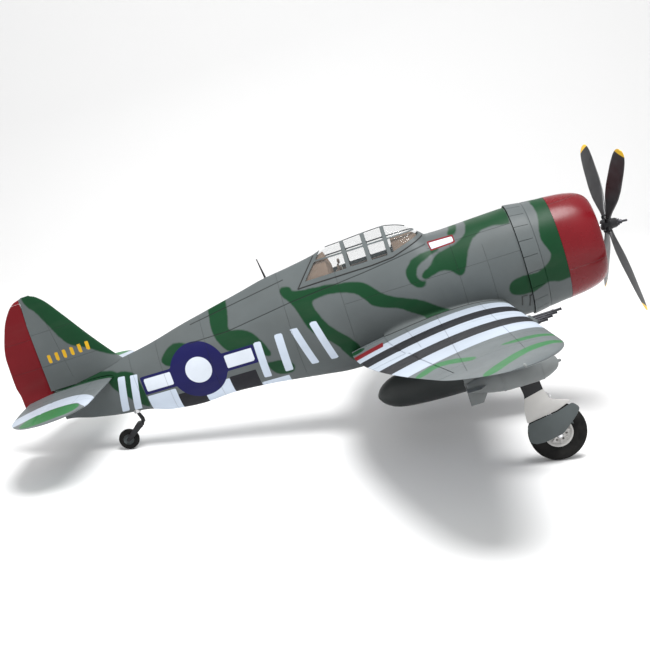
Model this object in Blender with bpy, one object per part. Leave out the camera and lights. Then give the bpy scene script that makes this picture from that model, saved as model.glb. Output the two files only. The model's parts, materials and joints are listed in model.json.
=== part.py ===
"""Radio control warbird, 1.2 m span, built as named sub-parts in the aircraft's own frame.

The aircraft frame has its origin at the propeller hub, X forward, Y to the left wing and Z up.
Everything hangs on the empty "attitude", which tips the aircraft back onto its tail wheel and
puts the three tyres on Z = 0. "Station" is the distance behind the propeller hub.
"""

import math

import bmesh
import bpy
from mathutils import Matrix, Vector

MM = 0.001
RUN_GAP = 0.7 * MM  # round a moving control surface's nose
FIT_GAP = 0.45 * MM  # between touching pieces
FLAP_END_GAP = 2.6 * MM  # the swept hinge line moves the flap's ends sideways as it drops

# Wing and tail
HALF_SPAN = 626 * MM
DIHEDRAL = math.radians(5.0)
WING_PLANE_Z = -72.7 * MM  # chord plane at the centre line
WING_LE = -199 * MM
WING_TE_ROOT = -470 * MM
WING_TE_RISE = 155 * MM  # how far the trailing edge comes forward by the tip
WING_TIP_X = -266 * MM
WING_CAMBER = 0.01
TAIL_HALF_SPAN = 240 * MM
TAIL_Z = 9.7 * MM
RUDDER_HINGE_X = -987 * MM
FLAP_SPAN = (72 * MM, 303 * MM)
AILERON_SPAN = (311 * MM, 545 * MM)

# Undercarriage, right side
LEG_PIVOT = Vector((-240, -249.6, -59.0)) * MM
MAIN_WHEEL = Vector((-200.8, -234.6, -237.5)) * MM
MAIN_RADIUS = 44 * MM
TYRE_WIDTH = 20 * MM
LEG_SWEEP = math.radians(15.0)  # how far aft the leg points when it is up
OLEO_TRAVEL = 8 * MM
TAIL_WHEEL = Vector((-888.7, 0, -106.5)) * MM
TAIL_RADIUS = 18 * MM
TAIL_STEER = Vector((-858, 0, -78)) * MM

# Propeller
DOWN_THRUST = math.radians(5.5)
BLADE_CONE = math.radians(3.0)

OUTER_SIDES = 24  # facets round the body
INNER_SIDES = 12  # facets round its hollow

# Body stations: station, top, bottom, half width, height of the widest point, pinch of the top (mm)
BODY = [
    (90, 76.0, -99.7, 70.5, -11, 0.0),
    (128, 79.0, -103, 72, -11, 0.0),
    (158, 79.8, -104.5, 72, -12, 0.0),
    (215, 78.6, -106, 71, -13, 0.05),
    (268, 77.2, -107, 69, -14, 0.1),
    (294, 78.0, -107, 68, -15, 0.16),
    (300, 83.0, -107, 67.5, -15, 0.22),
    (322, 102.4, -107, 66.5, -15, 0.42),
    (345, 110.8, -107, 65, -15, 0.52),
    (359, 113.3, -107, 64, -15, 0.55),
    (395, 112.4, -107, 62, -15, 0.56),
    (432, 110.4, -107, 59.5, -14, 0.56),
    (458, 109.4, -106.8, 57.5, -13, 0.57),
    (483, 102.5, -106, 55, -12, 0.55),
    (525, 95.9, -100.5, 51, -10, 0.52),
    (577, 89.4, -93, 46, -8, 0.48),
    (620, 80.6, -87.5, 42, -6, 0.45),
    (688, 67.1, -82.7, 35.5, -5, 0.4),
    (737, 57.2, -85, 30.5, -5, 0.35),
    (796, 43.4, -79, 24, -5, 0.3),
    (839, 36, -66, 19.5, -4, 0.25),
    (885, 30, -60.5, 15, -3, 0.15),
    (933, 25.5, -51.2, 10, -3, 0.05),
    (981, 21.5, -40, 5, -3, 0.0),
]
BODY_STATIONS = [268, 290, 296, 302, 322, 345, 360, 432, 458, 483, 525, 577, 688, 737, 768, 800, 839]
BODY_STATIONS += [885, 933, 980.5]
CANOPY_STATIONS = [290, 296, 302, 310, 322, 334, 348, 362, 395, 432, 458, 470, 483, 525]

# Side outline of the glazed part: station and height (mm), from the windscreen foot along the sill
GLAZING = [(299, 79.3), (312, 75.5), (356, 63), (395, 60.5), (433, 60.5), (522, 59), (461, 125), (299, 125)]

COLOURS = {
    "camouflage_grey": ((0.17, 0.19, 0.19), 0.5, 0.0),
    "red": ((0.30, 0.015, 0.025), 0.45, 0.0),
    "black": ((0.02, 0.02, 0.022), 0.5, 0.0),
    "rubber": ((0.015, 0.015, 0.015), 0.8, 0.0),
    "white": ((0.7, 0.7, 0.7), 0.45, 0.0),
    "door_grey": ((0.11, 0.13, 0.13), 0.5, 0.0),
    "metal": ((0.55, 0.55, 0.56), 0.3, 1.0),
    "glass": ((0.7, 0.75, 0.75), 0.1, 0.0),
    "tan": ((0.35, 0.22, 0.10), 0.6, 0.0),
    "electronics": ((0.02, 0.04, 0.10), 0.5, 0.0),
    "wood": ((0.45, 0.30, 0.15), 0.6, 0.0),
}


def clear_scene():
    for item in list(bpy.data.objects):
        bpy.data.objects.remove(item, do_unlink=True)


def material(name):
    made = bpy.data.materials.get(name)
    if made:
        return made
    colour, roughness, metallic = COLOURS[name]
    made = bpy.data.materials.new(name)
    made.use_nodes = True
    shader = made.node_tree.nodes["Principled BSDF"]
    shader.inputs["Base Color"].default_value = (*colour, 1.0)
    shader.inputs["Roughness"].default_value = roughness
    shader.inputs["Metallic"].default_value = metallic
    return made


def empty(name, parent=None, at=(0, 0, 0)):
    made = bpy.data.objects.new(name, None)
    made.empty_display_size = 0.02
    bpy.context.collection.objects.link(made)
    made.parent = parent
    made.location = at
    return made


def add_object(name, mesh, colour, parent, origin=(0, 0, 0)):
    """A part whose mesh is given in its parent's frame and whose origin is put at `origin`."""
    mesh.transform(Matrix.Translation(-Vector(origin)))
    mesh.materials.append(material(colour))
    mesh.shade_smooth()
    mesh.set_sharp_from_angle(angle=math.radians(35))
    made = bpy.data.objects.new(name, mesh)
    bpy.context.collection.objects.link(made)
    made.parent = parent
    made.location = origin
    return made


def mesh_of(form):
    """Turns a bmesh into a mesh with its faces pointing out."""
    bmesh.ops.recalc_face_normals(form, faces=form.faces)
    mesh = bpy.data.meshes.new("shape")
    form.to_mesh(mesh)
    form.free()
    return mesh


def loft(loops, ring=False):
    """Skins a row of closed loops with the same number of points, capped at both ends or joined round."""
    form = bmesh.new()
    rows = [[form.verts.new(point) for point in loop] for loop in loops]
    count = len(rows[0])
    pairs = list(zip(rows, rows[1:]))
    if ring:
        pairs.append((rows[-1], rows[0]))
    for first, second in pairs:
        for i in range(count):
            j = (i + 1) % count
            form.faces.new((first[i], first[j], second[j], second[i]))
    if not ring:
        form.faces.new(rows[0])
        form.faces.new(rows[-1])
    return mesh_of(form)


def prism(outline, along, start=0.0):
    """A closed outline of points pushed along a vector, from `start` of it to the whole of it."""
    along = Vector(along)
    low = [Vector(point) + along * start for point in outline]
    high = [Vector(point) + along for point in outline]
    return loft([low, high])


def lathe(profile, axis_point, axis, sides):
    """Turns (distance along the axis, radius) points round an axis; radius 0 closes an end."""
    axis = Vector(axis).normalized()
    across = axis.orthogonal().normalized()
    other = axis.cross(across)
    loops = []
    for along, radius in profile:
        centre = Vector(axis_point) + axis * along
        turns = [2 * math.pi * i / sides for i in range(sides)]
        loops.append([centre + (across * math.cos(t) + other * math.sin(t)) * radius for t in turns])
    return loops


def turned(profile, axis_point, axis, sides, ring=False):
    return loft(lathe(profile, axis_point, axis, sides), ring)


def box_mesh(low, high):
    (x0, y0, z0), (x1, y1, z1) = low, high
    return prism([(x0, y0, z0), (x1, y0, z0), (x1, y1, z0), (x0, y1, z0)], (0, 0, z1 - z0))


def boolean(target, operation, mesh, name="cutter"):
    """Adds or takes away a shape given in the target's parent frame."""
    helper = bpy.data.objects.new(f"{name}_{target.name}", mesh)
    bpy.context.collection.objects.link(helper)
    helper.parent = target.parent
    helper.hide_render = True
    helper.display_type = "WIRE"
    step = target.modifiers.new(name, "BOOLEAN")
    step.object = helper
    step.operation = operation
    step.solver = "EXACT"
    return helper


def cut(target, mesh):
    return boolean(target, "DIFFERENCE", mesh, "cut")


def fuse(target, mesh):
    return boolean(target, "UNION", mesh, "fuse")


def mirrored(mesh):
    """The same shape on the other side of the aircraft."""
    copy = mesh.copy()
    copy.transform(Matrix.Diagonal((1, -1, 1, 1)))
    copy.flip_normals()
    return copy


# Body shape


def spline(rows, key, column):
    """A smooth curve through the rows: cubic between them, level where they turn back."""
    if key <= rows[0][0]:
        return rows[0][column]
    if key >= rows[-1][0]:
        return rows[-1][column]
    i = max(n for n in range(len(rows) - 1) if rows[n][0] <= key)

    def slope(n):
        if n <= 0 or n >= len(rows) - 1:
            return 0.0
        before = (rows[n][column] - rows[n - 1][column]) / (rows[n][0] - rows[n - 1][0])
        after = (rows[n + 1][column] - rows[n][column]) / (rows[n + 1][0] - rows[n][0])
        return 0.0 if before * after <= 0 else 2 * before * after / (before + after)

    width = rows[i + 1][0] - rows[i][0]
    t = (key - rows[i][0]) / width
    a, b = rows[i][column], rows[i + 1][column]
    return (
        (2 * t**3 - 3 * t**2 + 1) * a
        + (t**3 - 2 * t**2 + t) * width * slope(i)
        + (3 * t**2 - 2 * t**3) * b
        + (t**3 - t**2) * width * slope(i + 1)
    )


def body_loop(station, sides, inset=0.0, scale=1.0):
    """The body's cross-section at a station, moved inwards by `inset`."""
    mm = station / MM
    top, bottom, half, middle, pinch = (spline(BODY, mm, c) * MM for c in range(1, 6))
    pinch /= MM
    top, bottom, half = top - inset, bottom + inset, half - inset
    loop = []
    for i in range(sides):
        t = 2 * math.pi * i / sides
        up = math.sin(t)
        height = (top if up > 0 else bottom) - middle
        height = height * up if up > 0 else -height * up
        narrow = 1 - pinch * up * up if up > 0 else 1.0
        loop.append((-station, half * math.cos(t) * narrow * scale, middle + height * scale))
    return loop


def body_loft(stations, sides, inset=0.0):
    return loft([body_loop(s * MM, sides, inset) for s in stations])


# Flying surfaces


class Surface:
    """A wing or tail panel: planform, thickness and the frame that its sections stand in."""

    def __init__(self, origin, span, normal, edges, thickness, camber=0.0):
        self.origin = Vector(origin)
        self.span = Vector(span)
        self.normal = Vector(normal)
        self.edges = edges
        self.thickness = thickness
        self.camber = camber

    def point(self, s, x, up):
        place = self.origin + self.span * s + self.normal * up
        return Vector((place.x + x, place.y, place.z))

    def surface_height(self, s, x, side):
        """Height of the upper (+1) or lower (-1) skin over the chord plane at x."""
        front, back = self.edges(s)
        chord = front - back
        at = min(max((front - x) / chord, 0.0), 1.0)
        powers = 0.2969 * math.sqrt(at) - 0.126 * at - 0.3516 * at**2
        powers += 0.2843 * at**3 - 0.1015 * at**4
        half = 5 * self.thickness(s) * powers * chord
        crown = self.camber * chord * 4 * at * (1 - at)
        return crown + side * half

    def section(self, s, points):
        """Closed loop from the trailing edge over the top to the nose and back underneath."""
        front, back = self.edges(s)
        loop = []
        for i in range(points + 1):
            x = back + (front - back) * (1 - math.cos(math.pi * i / points)) / 2
            loop.append(self.point(s, x, self.surface_height(s, x, 1)))
        for i in range(points - 1, -1, -1):
            x = back + (front - back) * (1 - math.cos(math.pi * i / points)) / 2
            loop.append(self.point(s, x, self.surface_height(s, x, -1)))
        return loop

    def panel(self, stations, points=8):
        return loft([self.section(s, points) for s in stations])


class Flap:
    """The part of a surface behind a straight hinge line, with a round nose about the hinge.

    A low hinge sits on the lower skin, so that the flap drops; otherwise it is at mid height.
    """

    def __init__(self, surface, ends, hinge_x, low=False):
        self.surface = surface
        self.ends = ends
        self.hinge_x = hinge_x
        self.low = low

    def hinge(self, s):
        """x, height and nose radius at span s: straight between the two ends."""
        values = []
        for end, x in zip(self.ends, self.hinge_x):
            upper = self.surface.surface_height(end, x, 1)
            lower = self.surface.surface_height(end, x, -1)
            height = lower if self.low else (upper + lower) / 2
            values.append((x, height, upper - height))
        share = (s - self.ends[0]) / (self.ends[1] - self.ends[0])
        return [a + (b - a) * share for a, b in zip(*values)]

    def hinge_point(self, s):
        x, height, _ = self.hinge(s)
        return self.surface.point(s, x, height)

    def arc(self, s, extra):
        x, height, radius = self.hinge(s)
        first = 180 if self.low else 270
        steps = 4 if self.low else 6
        loop = []
        for i in range(steps + 1):
            turn = math.radians(first + (90 - first) * i / steps)
            forward = -(radius + extra) * math.cos(turn)
            loop.append((x + forward, height + (radius + extra) * math.sin(turn)))
        return loop

    def section(self, s):
        x, height, _ = self.hinge(s)
        _, back = self.surface.edges(s)
        fractions = (0.35, 0.7, 1.0)
        upper = [x + (back - x) * f for f in fractions]
        loop = self.arc(s, 0.0)
        loop += [(u, self.surface.surface_height(s, u, 1)) for u in upper]
        loop += [(u, self.surface.surface_height(s, u, -1)) for u in reversed(upper)]
        if self.low:
            loop.append((x, height))
        return [self.surface.point(s, u, h) for u, h in loop]

    def solid(self, steps):
        first, last = self.ends
        return loft([self.section(first + (last - first) * i / steps) for i in range(steps + 1)])

    def bay(self, extra=RUN_GAP, end_gap=RUN_GAP):
        """What has to be cut from the fixed panel so that the flap runs clear."""
        loops = []
        first, last = self.ends
        for s in (first - end_gap, last + end_gap):
            arc = self.arc(s, extra)
            x, _, _ = self.hinge(s)
            reach = 60 * MM
            back = self.surface.edges(self.ends[0])[1] - reach
            outline = [(arc[0][0], -reach)] + arc + [(x, reach), (back, reach), (back, -reach)]
            loops.append([self.surface.point(s, u, h) for u, h in outline])
        return loft(loops)


def wing_edges(s):
    """Leading and trailing edge x of the wing at span s: straight nose, curved back, round tip."""
    share = min(s / HALF_SPAN, 0.9985)
    front = WING_LE
    back = WING_TE_ROOT + WING_TE_RISE * share * share
    nose_round, tail_round = 0.86, 0.88
    if share > nose_round:
        t = (share - nose_round) / (1 - nose_round)
        front += (WING_TIP_X - front) * (1 - math.sqrt(1 - t * t))
    if share > tail_round:
        t = (share - tail_round) / (1 - tail_round)
        back += (WING_TIP_X - back) * (1 - math.sqrt(1 - t * t))
    return front, back


def wing_thickness(s):
    return 0.148 - 0.045 * min(s / HALF_SPAN, 1.0)


def tail_edges(s):
    share = min(s / TAIL_HALF_SPAN, 0.9985)
    front, back, tip = -873 * MM - 4 * MM * share**2, -1022 * MM + 24 * MM * share**2, -946 * MM
    nose_round, tail_round = 0.74, 0.62
    if share > nose_round:
        t = (share - nose_round) / (1 - nose_round)
        front += (tip - front) * (1 - math.sqrt(1 - t * t))
    if share > tail_round:
        t = (share - tail_round) / (1 - tail_round)
        back += (tip - back) * (1 - math.sqrt(1 - t * t))
    return front, back


FIN = [
    (20, -838, -1042),
    (40, -855, -1045),
    (88, -890, -1043.5),
    (141, -925, -1027),
    (168, -944, -1010),
    (180, -957, -996),
    (185, -966, -981),
]


def fin_edges(s):
    """Edges of fin and rudder together at height s above the propeller axis."""
    mm = s / MM
    front = spline(FIN, mm, 1)
    back = spline(FIN, mm, 2)
    if mm < 20:
        back = -1042 + max(0.0, -mm) * 0.5
        front = -838
    return front * MM, back * MM


RIGHT_WING = Surface(
    (0, 0, WING_PLANE_Z),
    (0, -math.cos(DIHEDRAL), math.sin(DIHEDRAL)),
    (0, math.sin(DIHEDRAL), math.cos(DIHEDRAL)),
    wing_edges,
    wing_thickness,
    WING_CAMBER,
)
RIGHT_TAIL = Surface((0, 0, TAIL_Z), (0, -1, 0), (0, 0, 1), tail_edges, lambda s: 0.075)
FIN_SURFACE = Surface((0, 0, 0), (0, 0, 1), (0, 1, 0), fin_edges, lambda s: 0.078)


def leg_frames():
    """The leg's direction and the wheel's side, hanging and folded, as two 3 by 3 frames."""
    foot = Vector((MAIN_WHEEL.x, LEG_PIVOT.y, MAIN_WHEEL.z))
    down = (foot - LEG_PIVOT).normalized()
    inner = Vector((0, 1, 0))
    up_normal = Vector((0, math.sin(DIHEDRAL), math.cos(DIHEDRAL)))
    inboard = Vector((0, math.cos(DIHEDRAL), -math.sin(DIHEDRAL)))
    folded = inboard * math.cos(LEG_SWEEP) - Vector((1, 0, 0)) * math.sin(LEG_SWEEP)
    hanging_frame = Matrix((down, inner, down.cross(inner))).transposed()
    folded_frame = Matrix((folded, up_normal, folded.cross(up_normal))).transposed()
    return hanging_frame, folded_frame


def retract_turn():
    """Axis and angle that fold the right leg."""
    hanging, folded = leg_frames()
    turn = (folded @ hanging.transposed()).to_quaternion()
    axis, angle = turn.to_axis_angle()
    return axis, angle


# Body, cowl and engine


def glazing_outline(extra=0.0):
    """The glazed part's side outline, grown by `extra`."""
    grown = []
    for i, (station, height) in enumerate(GLAZING):
        station, height = station * MM, height * MM
        station += -extra if i in (0, 7) else extra if i in (5, 6) else 0.0
        grown.append((-station, -90 * MM, height - (extra if i < 6 else 0.0)))
    return grown


def make_fuselage(frame):
    shell_mesh = body_loft([157.5] + BODY_STATIONS, OUTER_SIDES)
    shell = add_object("fuselage_shell", shell_mesh, "camouflage_grey", frame)
    inner = [150, 268, 290, 296, 302, 322, 345, 360, 458, 483, 577, 688, 800, 839, 920]
    cut(shell, body_loft(inner, INNER_SIDES, 2.5 * MM))
    cut(shell, prism(glazing_outline(FIT_GAP), (0, 180 * MM, 0)))
    cut(shell, turned([(0, 5.5 * MM), (160 * MM, 5.5 * MM)], SPAR_END, (0, 1, 0), 12))
    joiner = (ELEVATOR_HINGE_X, -20 * MM, TAIL_Z)
    cut(shell, turned([(0, 3 * MM), (40 * MM, 3 * MM)], joiner, (0, 1, 0), 10))
    socket = []
    for i in range(14):
        turn = 2 * math.pi * (i + 0.5) / 14
        x = TAIL_STEER.x + 6.4 * MM * math.cos(turn)
        socket.append((x, 6.4 * MM * math.sin(turn), -90 * MM))
    cut(shell, prism(socket, (0, 0, 52 * MM)))
    for well in well_meshes():
        cut(shell, well)
        cut(shell, mirrored(well))
    cut(shell, tail_slot())
    return shell


def tail_slot():
    """The slot that the one-piece tailplane slides into, open at the back."""
    front = (tail_edges(0.0)[0] + 1 * MM) / MM
    half = 6.5
    outline = [(front, 0), (front - 2, 2.8), (front - 10, 5), (-898, half), (-945, half), (-951, 4)]
    outline += [(x, -z) for x, z in reversed(outline[1:])]
    return side_plate([(x, z + TAIL_Z / MM) for x, z in outline], -40, 40)


COWL_LIP = [  # station (mm) and share of the full section, round the lip and back inside the skin
    (91, 1.0), (68, 0.975), (45, 0.922), (33, 0.862), (25, 0.78), (22, 0.70), (26, 0.65),
    (36, 0.635), (36, 0.66), (27.5, 0.70), (36, 0.842), (47.5, 0.897), (69, 0.948), (91, 0.972),
]  # fmt: skip


def make_cowl(frame):
    ring = []
    for station, share in COWL_LIP:
        section = body_loop(91 * MM, OUTER_SIDES, scale=share)
        ring.append([(-station * MM, y, z) for _, y, z in section])
    add_object("cowl_ring", loft(ring, ring=True), "red", frame)
    rows = [(91.4, 0), (128, 0), (156.6, -1.8)]  # station and inset, flaps last
    rows += [(s, inset + 2) for s, inset in reversed(rows)]
    panel = [body_loop(s * MM, OUTER_SIDES, inset * MM) for s, inset in rows]
    add_object("cowl_panel", loft(panel, ring=True), "camouflage_grey", frame)
    plate = loft([body_loop(s * MM, INNER_SIDES, 3 * MM) for s in (158.4, 161.4)])
    add_object("firewall", plate, "wood", frame)


def make_engine(frame, thrust):
    """Everything on the tilted thrust line: mount and stator fixed, the rest turning."""
    back = Vector((-1, 0, 0))
    cup = [(112, 12), (112, 25), (158.5, 30), (158.5, 26), (115, 21), (115, 12)]
    mount = turned([(a * MM, r * MM) for a, r in cup], (0, 0, 0), back, 12, ring=True)
    mount_part = add_object("motor_mount", mount, "metal", thrust)
    behind = solid_box((-190, -60, -60), (-158, 60, 60))
    cut(mount_part, moved(behind, Matrix.Rotation(-DOWN_THRUST, 4, "Y")))
    stator = [(72, 6), (72, 17.4), (106, 17.4), (108, 19), (111.6, 19)]
    add_object("motor_stator", turned_mm(stator, back, 12), "metal", thrust)
    case = [(26, 13), (31, 21), (38, 27.5), (64, 27.5), (64, 4.5), (26, 4.5)]
    engine = turned([(a * MM, r * MM) for a, r in case], (0, 0, 0), back, 18, ring=True)
    engine_part = add_object("dummy_engine", engine, "metal", thrust)
    fuse(engine_part, cylinders())
    return back


def turned_mm(profile, axis, sides, at=(0, 0, 0)):
    return turned([(a * MM, r * MM) for a, r in profile], at, axis, sides)


def cylinders():
    """Nine radial cylinders as one mesh of separate bodies."""
    form = bmesh.new()
    for i in range(9):
        turn = 2 * math.pi * i / 9
        out = Vector((0, math.sin(turn), math.cos(turn)))
        foot = Vector((-52 * MM, 0, 0))
        profile = [(25.5 * MM, 8.2 * MM), (44 * MM, 8.6 * MM), (50 * MM, 6.5 * MM)]
        loops = lathe(profile, foot, out, 6)
        rows = [[form.verts.new(p) for p in loop] for loop in loops]
        for first, second in zip(rows, rows[1:]):
            for j in range(6):
                k = (j + 1) % 6
                form.faces.new((first[j], first[k], second[k], second[j]))
        form.faces.new(rows[0])
        form.faces.new(rows[-1])
    return mesh_of(form)


BLADE = [  # radius, chord, thickness (mm), pitch (degrees)
    (15.5, 11, 10, 60), (30, 12, 9, 57), (46, 18, 6.5, 53), (70, 24.5, 5, 47), (100, 27.5, 3.8, 41),
    (130, 27.5, 2.9, 36), (155, 25.5, 2.2, 33), (169, 21, 1.8, 31), (176, 14.5, 1.4, 30), (179, 8, 1.0, 30),
]  # fmt: skip


def blade_mesh():
    """One blade standing along Z, its leading edge turned towards -Y."""
    loops = []
    for radius, chord, thick, pitch in BLADE:
        turn = math.radians(pitch)
        ahead = radius * math.tan(BLADE_CONE)
        loop = []
        for i in range(8):
            t = 2 * math.pi * i / 8
            along = chord / 2 * math.cos(t)
            off = thick / 2 * math.sin(t)
            x = ahead + along * math.sin(turn) + off * math.cos(turn)
            y = -along * math.cos(turn) + off * math.sin(turn)
            loop.append((x * MM, y * MM, radius * MM))
        loops.append(loop)
    return loft(loops)


def make_propeller(thrust, back):
    spin = empty("propeller_axis", thrust)
    hub = [(-34, 2.5), (-32, 7), (-28, 10.8), (-21, 13.2), (-10, 13.4), (-7, 15), (7, 15), (10, 12)]
    add_object("propeller_hub", turned_mm(hub, back, 14), "black", spin)
    for i in range(4):
        blade = add_object(f"propeller_blade_{i + 1}", blade_mesh(), "black", spin)
        blade.rotation_euler = (math.radians(45 + 90 * i), 0, 0)
    bell = [(10.4, 2.5), (66, 2.5), (66.2, 12), (69, 20.5), (105, 20.5), (105, 18.2)]
    bell += [(70.5, 18.2), (70.5, 1.5)]
    add_object("motor_bell", turned_mm(bell, back, 16), "metal", spin)


# Canopy and cockpit: one lift-off hatch


def make_canopy(frame):
    hatch = empty("hatch", frame, (-410 * MM, 0, 66 * MM))
    local = Matrix.Translation((410 * MM, 0, -66 * MM))
    stations = CANOPY_STATIONS

    def shell(name, colour, outside, inside):
        made = add_object(name, moved(body_loft(stations, OUTER_SIDES, outside), local), colour, hatch)
        cut(made, moved(body_loft([280] + stations + [540], OUTER_SIDES, inside), local))
        outline = moved(prism(glazing_outline(), (0, 180 * MM, 0)), local)
        boolean(made, "INTERSECT", outline, "keep")
        return made

    shell("canopy_glass", "glass", 1.7 * MM, 2.9 * MM)
    hoops = shell("canopy_frame", "camouflage_grey", 0.0, 0.9 * MM)
    for window in canopy_windows():
        cut(hoops, moved(prism(window, (0, 180 * MM, 0)), local))
    return hatch


def moved(mesh, by):
    mesh.transform(by)
    return mesh


def canopy_windows():
    """Side outlines of the panes: two rows between the hoops."""
    mid_rail = 92
    columns = [(364, 391), (399, 429), (436, 452)]
    panes = []
    for first, last in columns:
        panes.append([(first, 68.5), (last, 68.5), (last, mid_rail), (first, mid_rail)])
        panes.append([(first, mid_rail + 3), (last, mid_rail + 3), (last, 130), (first, 130)])
    panes.append([(317, 82), (354.5, 71), (354.5, mid_rail), (325, mid_rail)])
    panes.append([(328, mid_rail + 3), (354.5, mid_rail + 3), (354.5, 103), (335, 103)])
    panes.append([(455, 67), (506, 67), (481, 91), (455, 91)])
    return [[(-s * MM, -90 * MM, z * MM) for s, z in pane] for pane in panes]


def make_cockpit(hatch):
    local = Matrix.Translation((410 * MM, 0, -66 * MM))
    tub = add_object("cockpit_tub", moved(solid_box((-454, -23, 16), (-322, 23, 63)), local), "tan", hatch)
    fuse(tub, moved(solid_box((-455, -24.6, 60.5), (-320, 24.6, 62.5)), local))
    cut(tub, moved(solid_box((-452, -21.4, 17.8), (-324, 21.4, 80)), local))
    seat = add_object("pilot_seat", moved(solid_box((-447, -13, 26), (-417, 13, 31)), local), "tan", hatch)
    fuse(seat, moved(solid_box((-450, -13, 26), (-445.5, 13, 74)), local))
    fuse(seat, moved(solid_box((-440, -8, 18.2), (-424, 8, 27)), local))
    panel = moved(solid_box((-352, -20.8, 34), (-349, 20.8, 72)), local)
    board = add_object("instrument_panel", panel, "black", hatch)
    fuse(board, moved(solid_box((-354, -4, 70), (-340, 4, 84)), local))
    fuse(board, moved(solid_box((-351.5, -5, 18.2), (-349.5, 5, 40)), local))


def solid_box(low, high):
    return box_mesh([v * MM for v in low], [v * MM for v in high])


# Undercarriage


def leg_point(u, v, n):
    """A point of the hanging right leg: u down the leg, v forward, n inboard (mm)."""
    hanging, _ = leg_frames()
    return LEG_PIVOT + hanging @ Vector((u, n, v)) * MM


def well_point(u, v, n):
    """The same point with the leg folded into the wing."""
    _, folded = leg_frames()
    return LEG_PIVOT + folded @ Vector((u, n, v)) * MM


def leg_plate(outline, low, high, place=leg_point):
    bottom = [place(u, v, low) for u, v in outline]
    top = [place(u, v, high) for u, v in outline]
    return loft([bottom, top])


def leg_block(u0, u1, v0, v1, n0, n1, place=leg_point):
    return leg_plate([(u0, v0), (u1, v0), (u1, v1), (u0, v1)], n0, n1, place)


LEG_COVER = [
    (13, -10), (20, 22), (106, 11), (126, 13), (136, 30), (143, 39), (146.5, 14), (145, -8),
    (143, -34), (121, -28), (103, -18),
]  # fmt: skip
WHEEL_DOOR = [
    (144, -35), (146, -8), (148, 14), (146, 39), (158, 45), (165, 38), (175, 20), (182, 5),
    (181, -22), (177, -37), (170, -44),
]  # fmt: skip
WHEEL_OFFSET = 15  # of the wheel's middle, inboard of the leg (mm)


def leg_length():
    hanging, _ = leg_frames()
    return (hanging.transposed() @ (MAIN_WHEEL - LEG_PIVOT)).x / MM


def well_meshes():
    """What the folded leg, its covers and the wheel need, cut up into the wing and the body side."""
    deep = -60
    length = leg_length()
    clear = MAIN_RADIUS / MM + 3.5
    top = WHEEL_OFFSET + TYRE_WIDTH / MM / 2 + 1.2
    round_part = []
    for i in range(16):
        turn = 2 * math.pi * (i + 0.5) / 16
        u = length + clear * math.cos(turn) - (OLEO_TRAVEL / MM if math.cos(turn) < 0 else 0)
        round_part.append((u, clear * math.sin(turn)))
    covers = [(9, -14), (15, 27), (104, 17), (116, 22), (130, 49), (160, 52), (174, 45), (188, 20)]
    covers += [(188, -26), (178, -48), (166, -52), (132, -50), (110, -36), (100, -23)]
    return [
        leg_plate(round_part, deep, top, well_point),
        leg_plate(covers, deep - 1, -3.6, well_point),
        leg_block(8, 152, -8.5, 8.5, deep - 2, 7.5, well_point),
        leg_block(-33.5, 9, -14.6, 14.6, deep - 3, 8.6, well_point),
    ]


def make_main_gear(frame):
    axis, _ = retract_turn()
    pivot = empty("right_retract_axis", frame, LEG_PIVOT)
    back_to_pivot = Matrix.Translation(-LEG_PIVOT)
    down = leg_point(1, 0, 0) - leg_point(0, 0, 0)
    inner = Vector((0, 1, 0))
    length = leg_length()

    def part(name, mesh, colour, parent=pivot, shift=back_to_pivot):
        return add_object(name, moved(mesh, shift), colour, parent)

    def add(target, mesh, shift=back_to_pivot):
        return fuse(target, moved(mesh, shift))

    strut = [(-3, 4.6), (12, 4.6), (14, 4), (118, 4)]
    leg = part("right_leg", turned_mm(strut, down, 12, LEG_PIVOT), "metal")
    add(leg, turned_mm([(-7, 6), (7, 6)], axis, 14, LEG_PIVOT))
    add(leg, turned_mm([(-12.6, 2.5), (12.6, 2.5)], axis, 12, LEG_PIVOT))
    bore = turned_mm([(60, 3), (140, 3)], down, 14, LEG_PIVOT)
    cut(leg, moved(bore, back_to_pivot))

    cover = part("right_leg_door", leg_plate(LEG_COVER, -6.7, -5.2), "white")
    for u in (40, 95):
        add(cover, leg_block(u, u + 8, -2.5, 2.5, -6, -4.35))

    slider = empty("right_oleo_axis", pivot)
    slide_parts = turned_mm([(76, 2.6), (129, 2.6), (130, 4.2), (length + 4, 4.2)], down, 12, LEG_PIVOT)
    oleo = part("right_oleo", slide_parts, "metal", slider)
    axle_root = leg_point(length, 0, 0)
    add(oleo, turned_mm([(0, 2), (25.2, 2)], inner, 12, axle_root))
    door = part("right_wheel_door", leg_plate(WHEEL_DOOR, -8.9, -7.1), "door_grey", slider)
    add(door, leg_block(164, 172, -2.5, 2.5, -8, -4.6))

    spin_shift = Matrix.Translation(-MAIN_WHEEL)
    spin = empty("right_wheel_axis", slider, MAIN_WHEEL - LEG_PIVOT)
    half = TYRE_WIDTH / MM / 2
    tread = [(-half + 1.5, 22.4), (-half, 32), (-half + 4.5, 42.6), (0, 44)]
    tread += [(half - 4.5, 42.6), (half, 32), (half - 1.5, 22.4)]
    tyre = turned([(a * MM, r * MM) for a, r in tread], MAIN_WHEEL, inner, 20, ring=True)
    part("right_tyre", tyre, "rubber", spin, spin_shift)
    disc = [(-8.5, 2.4), (-8.5, 8), (-5, 16), (-7.5, 22), (7.5, 22), (5, 16), (8.5, 8), (8.5, 2.4)]
    hub = turned([(a * MM, r * MM) for a, r in disc], MAIN_WHEEL, inner, 14, ring=True)
    part("right_wheel_hub", hub, "white", spin, spin_shift)
    return axis


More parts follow.
